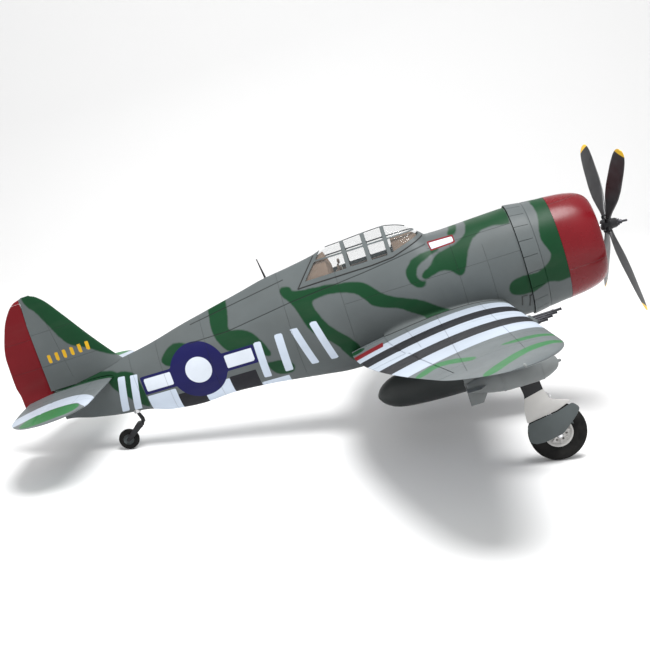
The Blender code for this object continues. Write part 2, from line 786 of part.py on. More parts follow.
def make_retract_unit(frame):
    axis, _ = retract_turn()
    block = leg_block(-33, -13, -12, 12, -8.2, 8, well_point)
    unit = add_object("right_retract_unit", block, "electronics", frame)
    for v in (-14, 11.2):
        fuse(unit, leg_block(-20, 6, v, v + 2.8, -7, 7, well_point))
    cut(unit, turned_mm([(-30, 2.85), (30, 2.85)], axis, 12, LEG_PIVOT))
    both_sides(unit, frame)


def make_tail_gear(frame):
    socket = (TAIL_STEER.x, 0, -66 * MM)
    ring = [(0, 3.3), (0, 6), (24, 6), (24, 3.3)]
    bracket = turned([(a * MM, r * MM) for a, r in ring], socket, (0, 0, 1), 12, ring=True)
    add_object("tail_wheel_bracket", bracket, "metal", frame)
    steer = empty("tail_steering_axis", frame, TAIL_STEER)
    shift = Matrix.Translation(-TAIL_STEER)
    x, z = TAIL_STEER.x / MM, TAIL_STEER.z / MM
    route = [(x, z + 32, 2.9), (x, z + 12, 2.9), (x + 3, z + 4, 3.4), (x + 5, z - 3, 3.6)]
    route += [(x + 1, z - 9, 3.6), (x - 5, z - 10, 3.4)]
    stem = add_object("tail_wheel_fork", moved(bent_rod(route), shift), "black", steer)
    wheel_x, wheel_z = TAIL_WHEEL.x / MM, TAIL_WHEEL.z / MM
    crown = [(x + 2, z - 5), (x - 8, z - 4.5), (x - 10, z - 11), (x, z - 14.5)]
    fuse(stem, moved(side_plate(crown, -8.6, 8.6), shift))
    arm = [(x + 1, z - 5.5), (x - 8, z - 5), (wheel_x - 3.4, wheel_z + 1.5), (wheel_x - 1, wheel_z - 3.5)]
    arm += [(wheel_x + 4, wheel_z - 2.5), (x - 1, z - 14)]
    fuse(stem, moved(side_plate(arm, 6.1, 8.9), shift))
    fuse(stem, moved(side_plate(arm, -8.9, -6.1), shift))
    fuse(stem, moved(turned_mm([(-8.4, 1.6), (8.4, 1.6)], (0, 1, 0), 10, TAIL_WHEEL), shift))
    spin = empty("tail_wheel_axis", steer, TAIL_WHEEL - TAIL_STEER)
    tread = [(-5.4, 1.95), (-5.4, 12), (-4.2, 16.6), (0, 18), (4.2, 16.6), (5.4, 12), (5.4, 1.95)]
    wheel = turned([(a * MM, r * MM) for a, r in tread], TAIL_WHEEL, (0, 1, 0), 16, ring=True)
    add_object("tail_wheel", moved(wheel, Matrix.Translation(-TAIL_WHEEL)), "rubber", spin)


def side_plate(outline, first, last):
    return loft([[(x * MM, y * MM, z * MM) for x, z in outline] for y in (first, last)])


def bent_rod(route):
    """A round rod through (x, z, radius) points in the plane of symmetry."""
    loops = []
    for i, (x, z, radius) in enumerate(route):
        before, after = route[max(i - 1, 0)], route[min(i + 1, len(route) - 1)]
        along = Vector((after[0] - before[0], 0, after[1] - before[1])).normalized()
        across = Vector((0, 1, 0))
        other = along.cross(across)
        turns = [2 * math.pi * k / 8 for k in range(8)]
        centre = Vector((x, 0, z))
        loops.append([(centre + (across * math.cos(t) + other * math.sin(t)) * radius) * MM for t in turns])
    return loft(loops)


# Wings, tail and control surfaces

SPAR_X = -352 * MM
SPAR_Z = -65.5 * MM
SPAR_END = Vector((SPAR_X, -80 * MM, SPAR_Z))
ELEVATOR_HINGE_X = -958 * MM
ELEVATOR_SPAN = (10 * MM, 222 * MM)
RUDDER_SPAN = (-28 * MM, 176 * MM)
FLAP = Flap(RIGHT_WING, FLAP_SPAN, (-412 * MM, -385 * MM), low=True)
AILERON = Flap(RIGHT_WING, AILERON_SPAN, (-380 * MM, -334 * MM))
ELEVATOR = Flap(RIGHT_TAIL, ELEVATOR_SPAN, (ELEVATOR_HINGE_X, ELEVATOR_HINGE_X))
RUDDER = Flap(FIN_SURFACE, RUDDER_SPAN, (RUDDER_HINGE_X, RUDDER_HINGE_X))
GUNS = [(280, -152), (299.5, -162), (319, -172), (338, -182)]  # span and muzzle x (mm)
STORE_Y = -291 * MM


def body_tool():
    """The body grown by the fit gap, for shaping what butts against it."""
    return body_loft([157.5] + BODY_STATIONS + [981.2], OUTER_SIDES, -FIT_GAP)


def hinge_pins(flap, radius, reach):
    """Pins along the hinge line at both ends, or the holes that take them."""
    first, last = (flap.hinge_point(s) for s in flap.ends)
    along = (last - first).normalized()
    span = (last - first).length
    inset = 6 * MM
    pins = []
    for start in (-reach, span - inset):
        profile = [(start, radius), (start + reach + inset, radius)]
        pins.append(turned(profile, first, along, 8))
    return pins


def make_flap(name, flap, steps, colour, frame, pin=1.0, reach=3.5):
    """A control surface whose origin is on its hinge line, with its two pins."""
    axis = empty(f"{name}_axis", frame, flap.hinge_point(flap.ends[0]))
    shift = Matrix.Translation(-axis.location)
    made = add_object(name, moved(flap.solid(steps), shift), colour, axis)
    for mesh in hinge_pins(flap, pin * MM, reach * MM):
        fuse(made, moved(mesh, shift))
    return made


def cut_bay(panel, flap, end_gap=RUN_GAP, pin=1.4, reach=5.0):
    cut(panel, flap.bay(end_gap=end_gap))
    for mesh in hinge_pins(flap, pin * MM, reach * MM):
        cut(panel, mesh)


def make_wing(frame):
    stations = [30, 120, 220, 320, 420, 490, 530, 549, 572, 594, 610, 620, 624.8]
    stations = [s * MM for s in stations]
    wing = add_object("right_wing", RIGHT_WING.panel(stations, 7), "camouflage_grey", frame)
    cut(wing, body_tool())
    cut_bay(wing, FLAP, end_gap=FLAP_END_GAP, reach=7.0)
    cut_bay(wing, AILERON)
    for well in well_meshes():
        cut(wing, well)
    cut(wing, turned([(-42 * MM, 5.4 * MM), (60 * MM, 5.4 * MM)], SPAR_END, (0, 1, 0), 12))
    for y, _ in GUNS:
        cut(wing, gun_barrel(y, -213, -190, 2.55))
    cut(wing, gun_bar(2.05, 1))
    for pocket in servo_boxes(0.5, 40):
        cut(wing, pocket)
    y = STORE_Y / MM
    rack = [(-217, -51), (-290, -51), (-286, -90), (-268, -103), (-222, -103), (-214, -90)]
    fuse(wing, side_plate(rack, y - 3.5, y + 3.5))
    cut(wing, bomb_body(0.4))
    return wing


def gun_bar(radius, extra):
    """The bar inside the wing that joins the four barrels, or the room for it."""
    ends = []
    for y in (GUNS[0][0] - extra, GUNS[-1][0] + extra):
        ends.append(Vector((-209, -y, WING_PLANE_Z / MM + y * math.tan(DIHEDRAL))) * MM)
    length = (ends[1] - ends[0]).length / MM
    return turned_mm([(0, radius), (length, radius)], ends[1] - ends[0], 8, ends[0])


def gun_barrel(y, back, muzzle, radius):
    z = WING_PLANE_Z / MM + y * math.tan(DIHEDRAL)
    return turned_mm([(back, radius), (muzzle, radius)], (1, 0, 0), 8, (0, -y * MM, z * MM))


def servo_boxes(extra, below):
    """Flap and aileron servo, flush with the wing's lower skin (or their pockets)."""
    boxes = []
    for span, x, top in ((215, -362, -2), (425, -300, -1)):
        outline = []
        for du, dv in ((-12, -11.5), (12, -11.5), (12, 11.5), (-12, 11.5)):
            grow_u, grow_v = math.copysign(extra, du), math.copysign(extra, dv)
            outline.append(((span + du + grow_u) * MM, (x + dv + grow_v) * MM))
        low, high = (-below * MM, (top + extra) * MM)
        boxes.append(loft([[RIGHT_WING.point(s, u, h) for s, u in outline] for h in (low, high)]))
    return boxes


def make_tail(frame):
    spans = [239, 235, 226, 210, 188, 160, 120, 60]
    sections = [RIGHT_TAIL.section(s * MM, 7) for s in spans]
    left = [[Vector((p.x, -p.y, p.z)) for p in section] for section in reversed(sections)]
    tail = add_object("tailplane", loft(sections + left), "camouflage_grey", frame)
    for side in (1, -1):
        cut(tail, ELEVATOR.bay() if side == 1 else mirrored(ELEVATOR.bay()))
        tip_hole = hinge_pins(ELEVATOR, 1.4 * MM, 5 * MM)[1]
        cut(tail, tip_hole if side == 1 else mirrored(tip_hole))
    cut(tail, solid_box((-1060, -12, -40), (-949, 12, 60)))
    elevator = make_flap("elevators", ELEVATOR, 7, "camouflage_grey", frame, reach=3.0)
    shift = Matrix.Translation(-elevator.parent.location)
    notch = [(-945, 1), (-945, -9.6), (-985, -13), (-1060, -48), (-1060, 1)]
    block = loft([[(x * MM, y * MM, z * MM) for x, y in notch] for z in (-20, 40)])
    cut(elevator, moved(block, shift))
    rod_end = ELEVATOR.hinge_point(ELEVATOR_SPAN[0])
    rod = turned_mm([(-15, 2.2), (rod_end.y / -MM + 0.5, 2.2)], (0, 1, 0), 10, rod_end)
    fuse(elevator, moved(rod, shift))
    finish(elevator)
    join_left_half(elevator)

    heights = [s * MM for s in (16, 40, 88, 125, 150, 168, 178, 183, 185)]
    fin = add_object("fin", FIN_SURFACE.panel(heights, 7), "camouflage_grey", frame)
    cut(fin, body_tool())
    cut(fin, RUDDER.bay())
    top_pin = hinge_pins(RUDDER, 1.4 * MM, 5 * MM)[1]
    cut(fin, top_pin)
    make_flap("rudder", RUDDER, 10, "red", frame, pin=0.9, reach=3.0)


def join_left_half(item):
    """Fuses a right-hand part, whose rod reaches past the centre line, with its left-hand twin."""
    centre = Matrix.Translation((0, 2 * item.parent.location.y, 0))
    twin = mirrored(item.data)
    twin.transform(centre.inverted())
    fuse(item, twin)


def finish(item):
    """Applies an object's modifiers and drops their helpers."""
    bpy.context.view_layer.update()
    graph = bpy.context.evaluated_depsgraph_get()
    mesh = bpy.data.meshes.new_from_object(item.evaluated_get(graph))
    helpers = [step.object for step in item.modifiers if step.type == "BOOLEAN"]
    item.modifiers.clear()
    item.data = mesh
    for helper in helpers:
        bpy.data.objects.remove(helper, do_unlink=True)


def mirror_part(item, name, frame, parent=None):
    """The same part on the left, on an axis empty of its own unless a parent is given."""
    if parent is None:
        place = item.parent.location
        parent = empty(f"{name}_axis", frame, (place.x, -place.y, place.z))
    made = bpy.data.objects.new(name, mirrored(item.data))
    bpy.context.collection.objects.link(made)
    made.parent = parent
    return made


def both_sides(item, frame):
    """Finishes a fixed right-hand part and makes its left-hand twin."""
    finish(item)
    mirror_part(item, item.name.replace("right_", "left_"), frame, frame)


def mirror_gear(frame):
    """The left leg, slider and wheel, on a chain of empties like the right one's."""
    pivot = empty("left_retract_axis", frame, (LEG_PIVOT.x, -LEG_PIVOT.y, LEG_PIVOT.z))
    slider = empty("left_oleo_axis", pivot)
    wheel = MAIN_WHEEL - LEG_PIVOT
    spin = empty("left_wheel_axis", slider, (wheel.x, -wheel.y, wheel.z))
    parents = {"leg": pivot, "leg_door": pivot, "oleo": slider, "wheel_door": slider}
    parents.update({"tyre": spin, "wheel_hub": spin})
    for name, parent in parents.items():
        item = bpy.data.objects[f"right_{name}"]
        finish(item)
        mirror_part(item, f"left_{name}", frame, parent)


# Stores, guns and inside parts


BOMB = [
    (174, 1.6), (178, 2.2), (180, 7), (190, 14), (206, 19.2), (222, 20), (258, 19.6), (280, 16),
    (300, 10.5), (312, 7.5),
]  # fmt: skip
BOMB_Z = -117 * MM


def bomb_body(extra=0.0):
    grown = [(a, r + extra) for a, r in BOMB]
    return turned_mm(grown, (-1, 0, 0), 12, (0, STORE_Y, BOMB_Z))


def make_stores(frame):
    tank_profile = [(145, 3), (149, 11), (158, 19), (178, 27), (205, 33), (240, 35.7), (300, 35.2)]
    tank_profile += [(350, 34), (395, 31), (420, 27), (438, 19), (447, 11), (451, 5)]
    tank_mesh = turned_mm(tank_profile, (-1, 0, 0), 16, (0, 0, -168 * MM))
    tank = add_object("belly_tank", tank_mesh, "black", frame)
    fuse(tank, side_plate([(-205, -95), (-335, -95), (-325, -140), (-215, -140)], -4, 4))
    cut(tank, body_tool())

    bomb = add_object("right_bomb", bomb_body(), "camouflage_grey", frame)
    fin = [(-284, 12), (-296, 27), (-315, 27), (-315, 2), (-290, 2)]
    for turn in range(4):
        mesh = loft([[Vector((x, thick, r)) * MM for x, r in fin] for thick in (-0.8, 0.8)])
        mesh.transform(Matrix.Rotation(math.pi / 2 * turn, 4, "X"))
        mesh.transform(Matrix.Translation((0, STORE_Y, BOMB_Z)))
        fuse(bomb, mesh)
    both_sides(bomb, frame)


def make_fittings(frame):
    guns = add_object("right_guns", gun_barrel(GUNS[0][0], -212, GUNS[0][1], 2.2), "metal", frame)
    for y, muzzle in GUNS[1:]:
        fuse(guns, gun_barrel(y, -212, muzzle, 2.2))
    fuse(guns, gun_bar(1.6, 0))
    both_sides(guns, frame)
    mast = [(0, 1.9), (32.5, 0.8)]
    foot = (-572 * MM, 0, 90.6 * MM)
    add_object("antenna_mast", turned_mm(mast, (-0.12, 0, 1), 10, foot), "black", frame)
    spar = turned_mm([(-38, 5), (198, 5)], (0, 1, 0), 16, SPAR_END)
    add_object("wing_spar_tube", spar, "black", frame)
    add_object("battery", rounded_box((-300, -21, -40), (-172, 21, -12), 3), "electronics", frame)
    add_object("speed_controller", rounded_box((-235, -16, -9), (-175, 16, 3), 2), "electronics", frame)
    add_object("receiver", rounded_box((-450, -13, -40), (-405, 13, -26), 2), "electronics", frame)
    for name, mesh in zip(("right_flap_servo", "right_aileron_servo"), servo_boxes(0.0, 9.5)):
        both_sides(add_object(name, mesh, "electronics", frame), frame)
    tray = add_object("tail_servos", solid_box((-612, -24, -26), (-566, 24, -23)), "electronics", frame)
    for y in (-20, 4):
        fuse(tray, solid_box((-601, y, -45), (-577, y + 16, -12)))


def rounded_box(low, high, radius):
    form = bmesh.new()
    form.from_mesh(solid_box(low, high))
    bmesh.ops.bevel(form, geom=form.edges[:], offset=radius * MM, segments=2, affect="EDGES", profile=0.5)
    return mesh_of(form)


def stand_on_wheels(frame):
    """Tips the aircraft so that main and tail tyres touch Z = 0, centred over the origin."""
    gap_x = MAIN_WHEEL.x - TAIL_WHEEL.x
    gap_z = TAIL_WHEEL.z - MAIN_WHEEL.z
    rise = MAIN_RADIUS - TAIL_RADIUS
    tip = math.asin(rise / math.hypot(gap_x, gap_z)) + math.atan2(gap_z, gap_x)
    frame.rotation_euler = (0, -tip, 0)
    lift = MAIN_RADIUS - (MAIN_WHEEL.x * math.sin(tip) + MAIN_WHEEL.z * math.cos(tip))
    frame.location = (0, 0, lift)
    bpy.context.view_layer.update()
    graph = bpy.context.evaluated_depsgraph_get()
    ends = []
    for item in bpy.data.objects:
        if item.type == "MESH" and not item.hide_render:
            mesh = item.evaluated_get(graph).to_mesh()
            ends += [(item.matrix_world @ v.co).x for v in mesh.vertices]
            item.evaluated_get(graph).to_mesh_clear()
    frame.location.x = -(min(ends) + max(ends)) / 2


def main():
    clear_scene()
    frame = empty("attitude")
    make_fuselage(frame)
    make_cowl(frame)
    thrust = empty("thrust_line", frame)
    thrust.rotation_euler = (0, DOWN_THRUST, 0)
    back = make_engine(frame, thrust)
    make_propeller(thrust, back)
    hatch = make_canopy(frame)
    make_cockpit(hatch)
    wing = make_wing(frame)
    finish(wing)
    mirror_part(wing, "left_wing", frame, frame)
    flap = make_flap("right_flap", FLAP, 4, "camouflage_grey", frame, reach=5.5)
    finish(flap)
    mirror_part(flap, "left_flap", frame)
    aileron = make_flap("right_aileron", AILERON, 5, "camouflage_grey", frame)
    finish(aileron)
    mirror_part(aileron, "left_aileron", frame)
    make_tail(frame)
    make_main_gear(frame)
    mirror_gear(frame)
    make_retract_unit(frame)
    make_tail_gear(frame)
    make_stores(frame)
    make_fittings(frame)
    stand_on_wheels(frame)


main()
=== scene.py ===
"""Looks of the radio control warbird: smooth skins, camouflage, panel lines, cockpit, engine and legs.

Shapes are made in the aircraft frame in millimetres: origin at the propeller hub, X forward, Y to
the left wing, Z up. AIR takes them to the row frame.
"""

import json
import math

import bmesh
import bpy
import numpy as np
from mathutils import Matrix, Vector


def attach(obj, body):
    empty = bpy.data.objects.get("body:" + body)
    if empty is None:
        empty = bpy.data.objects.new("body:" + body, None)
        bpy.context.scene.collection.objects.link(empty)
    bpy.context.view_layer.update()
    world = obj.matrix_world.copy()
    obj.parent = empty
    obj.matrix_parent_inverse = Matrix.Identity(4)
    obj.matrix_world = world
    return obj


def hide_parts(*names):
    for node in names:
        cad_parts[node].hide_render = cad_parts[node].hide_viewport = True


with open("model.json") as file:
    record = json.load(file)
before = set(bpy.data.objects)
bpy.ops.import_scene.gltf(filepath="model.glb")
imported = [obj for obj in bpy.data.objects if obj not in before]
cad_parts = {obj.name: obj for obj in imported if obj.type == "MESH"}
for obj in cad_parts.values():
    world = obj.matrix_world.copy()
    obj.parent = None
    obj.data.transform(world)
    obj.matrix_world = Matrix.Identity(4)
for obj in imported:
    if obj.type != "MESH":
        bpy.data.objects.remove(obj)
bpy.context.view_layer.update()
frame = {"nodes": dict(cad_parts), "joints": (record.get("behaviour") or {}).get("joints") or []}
JOINTS = {joint["name"]: joint for joint in frame["joints"]}

# The aircraft's place and directions in the row frame
HUB = Vector(JOINTS["propeller_spin"]["pos_m"])
UP = Vector(JOINTS["hatch_lift"]["axis"]).normalized()
AHEAD = Vector((UP.z, 0, -UP.x))
TURN = Matrix((AHEAD, Vector((0, 1, 0)), UP)).transposed().to_4x4()
AIR = Matrix.Translation(HUB) @ TURN @ Matrix.Scale(0.001, 4)
DOWNTHRUST = math.radians(5.5)
THRUST = Matrix.Rotation(DOWNTHRUST, 4, "Y")
MIRROR = Matrix.Diagonal((1, -1, 1, 1))
BACK = Vector((-1, 0, 0))
LEFT = Vector((0, 1, 0))
ABOVE = Vector((0, 0, 1))

# Shape of the aircraft, as in the CAD model (mm)
HALF_SPAN = 626
TAIL_HALF_SPAN = 240
DIHEDRAL = math.radians(5.0)
WING_PLANE_Z = -72.7
TAIL_Z = 9.7
ELEVATOR_HINGE_X = -958
RUDDER_HINGE_X = -987
LEG_PIVOT = Vector((-240, -249.6, -59.0))
MAIN_WHEEL = Vector((-200.8, -234.6, -237.5))
LEG_SWEEP = math.radians(15.0)
TAIL_WHEEL = Vector((-888.7, 0, -106.5))
TAIL_STEER = Vector((-858, 0, -78))
STORE_Y = -291
BOMB_Z = -117
TANK_Z = -168
COWL_JOINT = 91
GILLS = 22
CYLINDERS = 9
BARREL_FIN = 8.5
HEAD_FIN = 7.6
BLADES = 4
BODY_SIDES = 144
# An elliptic tip ends just short of the span, where its chord would be nothing
TIP_END = 0.9985

# station, top, bottom, half width, height of the widest point, pinch of the top
BODY = [
    (90, 76.0, -99.7, 70.5, -11, 0.0),
    (128, 79.0, -103, 72, -11, 0.0),
    (158, 79.8, -104.5, 72, -12, 0.0),
    (215, 78.6, -106, 71, -13, 0.05),
    (268, 77.2, -107, 69, -14, 0.1),
    (294, 78.0, -107, 68, -15, 0.16),
    (300, 83.0, -107, 67.5, -15, 0.22),
    (322, 102.4, -107, 66.5, -15, 0.42),
    (345, 110.8, -107, 65, -15, 0.52),
    (359, 113.3, -107, 64, -15, 0.55),
    (395, 112.4, -107, 62, -15, 0.56),
    (432, 110.4, -107, 59.5, -14, 0.56),
    (458, 109.4, -106.8, 57.5, -13, 0.57),
    (483, 102.5, -106, 55, -12, 0.55),
    (525, 95.9, -100.5, 51, -10, 0.52),
    (577, 89.4, -93, 46, -8, 0.48),
    (620, 80.6, -87.5, 42, -6, 0.45),
    (688, 67.1, -82.7, 35.5, -5, 0.4),
    (737, 57.2, -85, 30.5, -5, 0.35),
    (796, 43.4, -79, 24, -5, 0.3),
    (839, 36, -66, 19.5, -4, 0.25),
    (885, 30, -60.5, 15, -3, 0.15),
    (933, 25.5, -51.2, 10, -3, 0.05),
    (981, 21.5, -40, 5, -3, 0.0),
]
# Station and height of the canopy's outline
GLAZING = [(299, 79.3), (312, 75.5), (356, 63), (395, 60.5), (433, 60.5), (522, 59), (461, 125), (299, 125)]
# Height, leading edge, trailing edge
FIN = [
    (20, -838, -1042), (40, -855, -1045), (88, -890, -1043.5), (141, -925, -1027), (168, -944, -1010),
    (180, -957, -996), (185, -966, -981),
]  # fmt: skip


# Mesh building


def mesh_of(form):
    """Ends the editing of a mesh, with its faces pointing out."""
    bmesh.ops.recalc_face_normals(form, faces=form.faces)
    mesh = bpy.data.meshes.new("shape")
    form.to_mesh(mesh)
    form.free()
    return mesh


def loft(loops, ring=False):
    """Skins a row of closed loops, with caps at its ends unless it closes into a ring."""
    form = bmesh.new()
    rows = [[form.verts.new(point) for point in loop] for loop in loops]
    count = len(rows[0])
    pairs = list(zip(rows, rows[1:]))
    if ring:
        pairs.append((rows[-1], rows[0]))
    for first, second in pairs:
        for i in range(count):
            j = (i + 1) % count
            form.faces.new((first[i], first[j], second[j], second[i]))
    if not ring:
        form.faces.new(rows[0])
        form.faces.new(rows[-1])
    return mesh_of(form)


def turns(count, phase=0.0):
    """The angles of a full turn in equal steps."""
    return [2 * math.pi * (i + phase) / count for i in range(count)]


def loop_about(centre, across, other, radius, sides):
    """A round loop of points, in the plane of two directions at right angles."""
    centre = Vector(centre)
    return [centre + (across * math.cos(t) + other * math.sin(t)) * radius for t in turns(sides)]


def circle(centre, axis, radius, sides):
    axis = Vector(axis).normalized()
    across = axis.orthogonal().normalized()
    return loop_about(centre, across, axis.cross(across), radius, sides)


def turned(profile, axis, sides, at=(0, 0, 0), ring=False):
    """A profile of (place along the axis, radius), turned about the axis."""
    along = Vector(axis).normalized()
    return loft([circle(Vector(at) + along * a, axis, r, sides) for a, r in profile], ring)


def flipped(profile):
    """The far half of a turned profile that is the same at both ends."""
    return [(-a, r) for a, r in reversed(profile)]


def rod(start, end, radius, sides=16, end_radius=None):
    start, end = Vector(start), Vector(end)
    last = radius if end_radius is None else end_radius
    return loft([circle(start, end - start, radius, sides), circle(end, end - start, last, sides)])


# A direction that none of the tubes runs in
TUBE_SIDE = Vector((0.31, 0.87, 0.38))


def tube_along(points, radius, sides=10):
    """A round bar along a row of points."""
    loops = []
    for i, point in enumerate(points):
        before = Vector(points[max(i - 1, 0)])
        after = Vector(points[min(i + 1, len(points) - 1)])
        along = (after - before).normalized()
        side = along.cross(TUBE_SIDE).normalized()
        loops.append(loop_about(point, side, along.cross(side), radius, sides))
    return loft(loops)


def bend(first, corner, last, steps):
    """A curve that leaves one point and reaches the other along the lines to a corner."""
    shares = [i / steps for i in range(steps + 1)]
    return [first.lerp(corner, t).lerp(corner.lerp(last, t), t) for t in shares]


def prism(outline, along):
    """An outline drawn out along a vector."""
    along = Vector(along)
    return loft([[Vector(p) for p in outline], [Vector(p) + along for p in outline]])


def side_plate(outline, first, last):
    """An outline of (x, z) from one Y to another."""
    return loft([[(x, y, z) for x, z in outline] for y in (first, last)])


def box(low, high, edge=0.0, segments=2):
    (x0, y0, z0), (x1, y1, z1) = low, high
    mesh = prism([(x0, y0, z0), (x1, y0, z0), (x1, y1, z0), (x0, y1, z0)], (0, 0, z1 - z0))
    return rounded(mesh, edge, segments) if edge else mesh


def rounded(mesh, width, segments=2, angle=30):
    """Rounds the sharp edges of a mesh."""
    form = bmesh.new()
    form.from_mesh(mesh)
    limit = math.radians(angle)
    edges = [e for e in form.edges if len(e.link_faces) == 2 and e.calc_face_angle(0) > limit]
    bmesh.ops.bevel(form, geom=edges, offset=width, segments=segments, affect="EDGES", profile=0.5,
                    clamp_overlap=True)  # fmt: skip
    return mesh_of(form)


def joined(*meshes):
    form = bmesh.new()
    for mesh in meshes:
        form.from_mesh(mesh)
    made = bpy.data.meshes.new("joined")
    form.to_mesh(made)
    form.free()
    return made


def moved(mesh, by):
    copy = mesh.copy()
    copy.transform(by)
    if by.determinant() < 0:
        copy.flip_normals()
    return copy


def into_scene(name, data):
    made = bpy.data.objects.new(name, data)
    bpy.context.scene.collection.objects.link(made)
    return made


def carve(mesh, cuts=(), keep=None):
    """Cuts meshes out of a mesh and, where one is given, keeps only what lies inside another."""
    steps = [("DIFFERENCE", tool) for tool in cuts]
    if keep:
        steps.append(("INTERSECT", keep))
    target = into_scene("target", mesh)
    helpers = []
    for operation, tool in steps:
        helpers.append(into_scene("helper", tool))
        step = target.modifiers.new(operation, "BOOLEAN")
        step.operation = operation
        step.object = helpers[-1]
        step.solver = "MANIFOLD"
    bpy.context.view_layer.update()
    graph = bpy.context.evaluated_depsgraph_get()
    made = bpy.data.meshes.new_from_object(target.evaluated_get(graph))
    for item in [target, *helpers]:
        bpy.data.objects.remove(item, do_unlink=True)
    return made


# Body shape


def spline(rows, key, column):
    """A smooth curve through a column of a table that never overshoots its values."""
    if key <= rows[0][0]:
        return rows[0][column]
    if key >= rows[-1][0]:
        return rows[-1][column]
    i = max(n for n in range(len(rows) - 1) if rows[n][0] <= key)

    def slope(n):
        if n <= 0 or n >= len(rows) - 1:
            return 0.0
        before = (rows[n][column] - rows[n - 1][column]) / (rows[n][0] - rows[n - 1][0])
        after = (rows[n + 1][column] - rows[n][column]) / (rows[n + 1][0] - rows[n][0])
        return 0.0 if before * after <= 0 else 2 * before * after / (before + after)

    width = rows[i + 1][0] - rows[i][0]
    t = (key - rows[i][0]) / width
    a, b = rows[i][column], rows[i + 1][column]
    return (
        (2 * t**3 - 3 * t**2 + 1) * a
        + (t**3 - 2 * t**2 + t) * width * slope(i)
        + (3 * t**2 - 2 * t**3) * b
        + (t**3 - t**2) * width * slope(i + 1)
    )


def body_point(station, t, inset=0.0, scale=1.0):
    """A point of the body's section, at an angle up from the left side."""
    top, bottom, half, middle, pinch = (spline(BODY, station, c) for c in range(1, 6))
    top, bottom, half = top - inset, bottom + inset, half - inset
    up = math.sin(t)
    height = (top if up > 0 else bottom) - middle
    height = height * up if up > 0 else -height * up
    narrow = 1 - pinch * up * up if up > 0 else 1.0
    return Vector((-station, half * math.cos(t) * narrow * scale, middle + height * scale))


def body_loop(station, sides, inset=0.0, scale=1.0):
    return [body_point(station, t, inset, scale) for t in turns(sides)]


def body_loft(stations, sides, inset=0.0):
    return loft([body_loop(s, sides, inset) for s in stations])


def body_half_width(x, z):
    """Half the width of the body at this place and height."""
    top, bottom, half, middle, pinch = (spline(BODY, -x, c) for c in range(1, 6))
    up = (z - middle) / ((top - middle) if z > middle else (middle - bottom))
    up = max(-1.0, min(1.0, up))
    return half * math.sqrt(1 - up * up) * (1 - pinch * up * up if up > 0 else 1.0)


def body_side(x, z):
    """The point of the body's right side at this place and height."""
    return Vector((x, -body_half_width(x, z), z))


def stations_between(first, last, step):
    """Evenly spaced stations, both ends included."""
    count = max(2, round(abs(last - first) / step) + 1)
    return [first + (last - first) * i / (count - 1) for i in range(count)]


# Flying surfaces


class Surface:
    """A wing, tailplane or fin: a row of aerofoil sections between two edges."""

    def __init__(self, origin, span, normal, edges, thickness, camber=0.0):
        self.origin, self.span, self.normal = Vector(origin), Vector(span), Vector(normal)
        self.edges, self.thickness, self.camber = edges, thickness, camber

    def point(self, s, x, up):
        place = self.origin + self.span * s + self.normal * up
        return Vector((place.x + x, place.y, place.z))

    def height(self, s, x, side):
        """How far the skin is from the chord plane: side 1 is the upper skin and -1 the lower."""
        front, back = self.edges(s)
        chord = front - back
        at = min(max((front - x) / chord, 0.0), 1.0)
        powers = 0.2969 * math.sqrt(at) - 0.126 * at - 0.3516 * at**2
        powers += 0.2843 * at**3 - 0.1015 * at**4
        return self.camber * chord * 4 * at * (1 - at) + side * 5 * self.thickness(s) * powers * chord

    def section(self, s, points):
        """The closed aerofoil at a place along the span, closer set at both edges."""
        front, back = self.edges(s)
        xs = [back + (front - back) * (1 - math.cos(math.pi * i / points)) / 2 for i in range(points + 1)]
        loop = [self.point(s, x, self.height(s, x, 1)) for x in xs]
        return loop + [self.point(s, x, self.height(s, x, -1)) for x in reversed(xs[:-1])]

    def panel(self, stations, points):
        return loft([self.section(s, points) for s in stations])


class Flap:
    """A hinged part of a surface, with a round nose about its hinge line."""

    def __init__(self, surface, ends, hinge_x, low=False):
        self.surface, self.ends, self.hinge_x, self.low = surface, ends, hinge_x, low

    def hinge(self, s):
        """The hinge line's x and height, and the radius of the nose about it."""
        values = []
        for end, x in zip(self.ends, self.hinge_x):
            upper = self.surface.height(end, x, 1)
            lower = self.surface.height(end, x, -1)
            height = lower if self.low else (upper + lower) / 2
            values.append((x, height, upper - height))
        share = (s - self.ends[0]) / (self.ends[1] - self.ends[0])
        return [a + (b - a) * share for a, b in zip(*values)]

    def arc(self, s, extra, steps):
        """The round nose, from below to the top skin."""
        x, height, radius = self.hinge(s)
        first = 180 if self.low else 270
        loop = []
        for i in range(steps + 1):
            turn = math.radians(first + (90 - first) * i / steps)
            loop.append((x - (radius + extra) * math.cos(turn), height + (radius + extra) * math.sin(turn)))
        return loop

    def section(self, s):
        x, height, _ = self.hinge(s)
        _, back = self.surface.edges(s)
        upper = [x + (back - x) * i / 14 for i in range(1, 15)]
        loop = self.arc(s, 0.0, 16)
        loop += [(u, self.surface.height(s, u, 1)) for u in upper]
        loop += [(u, self.surface.height(s, u, -1)) for u in reversed(upper)]
        if self.low:
            loop.append((x, height))
        return [self.surface.point(s, u, h) for u, h in loop]

    def solid(self, step=4):
        return loft([self.section(s) for s in stations_between(*self.ends, step)])

    def bay(self, extra=0.7, end_gap=0.7):
        """The space that the surface leaves for the hinged part."""
        loops = []
        first, last = self.ends
        for s in (first - end_gap, last + end_gap):
            arc = self.arc(s, extra, 16)
            x, _, _ = self.hinge(s)
            back = self.surface.edges(first)[1] - 60
            outline = [(arc[0][0], -60)] + arc + [(x, 60), (back, 60), (back, -60)]
            loops.append([self.surface.point(s, u, h) for u, h in outline])
        return loft(loops)


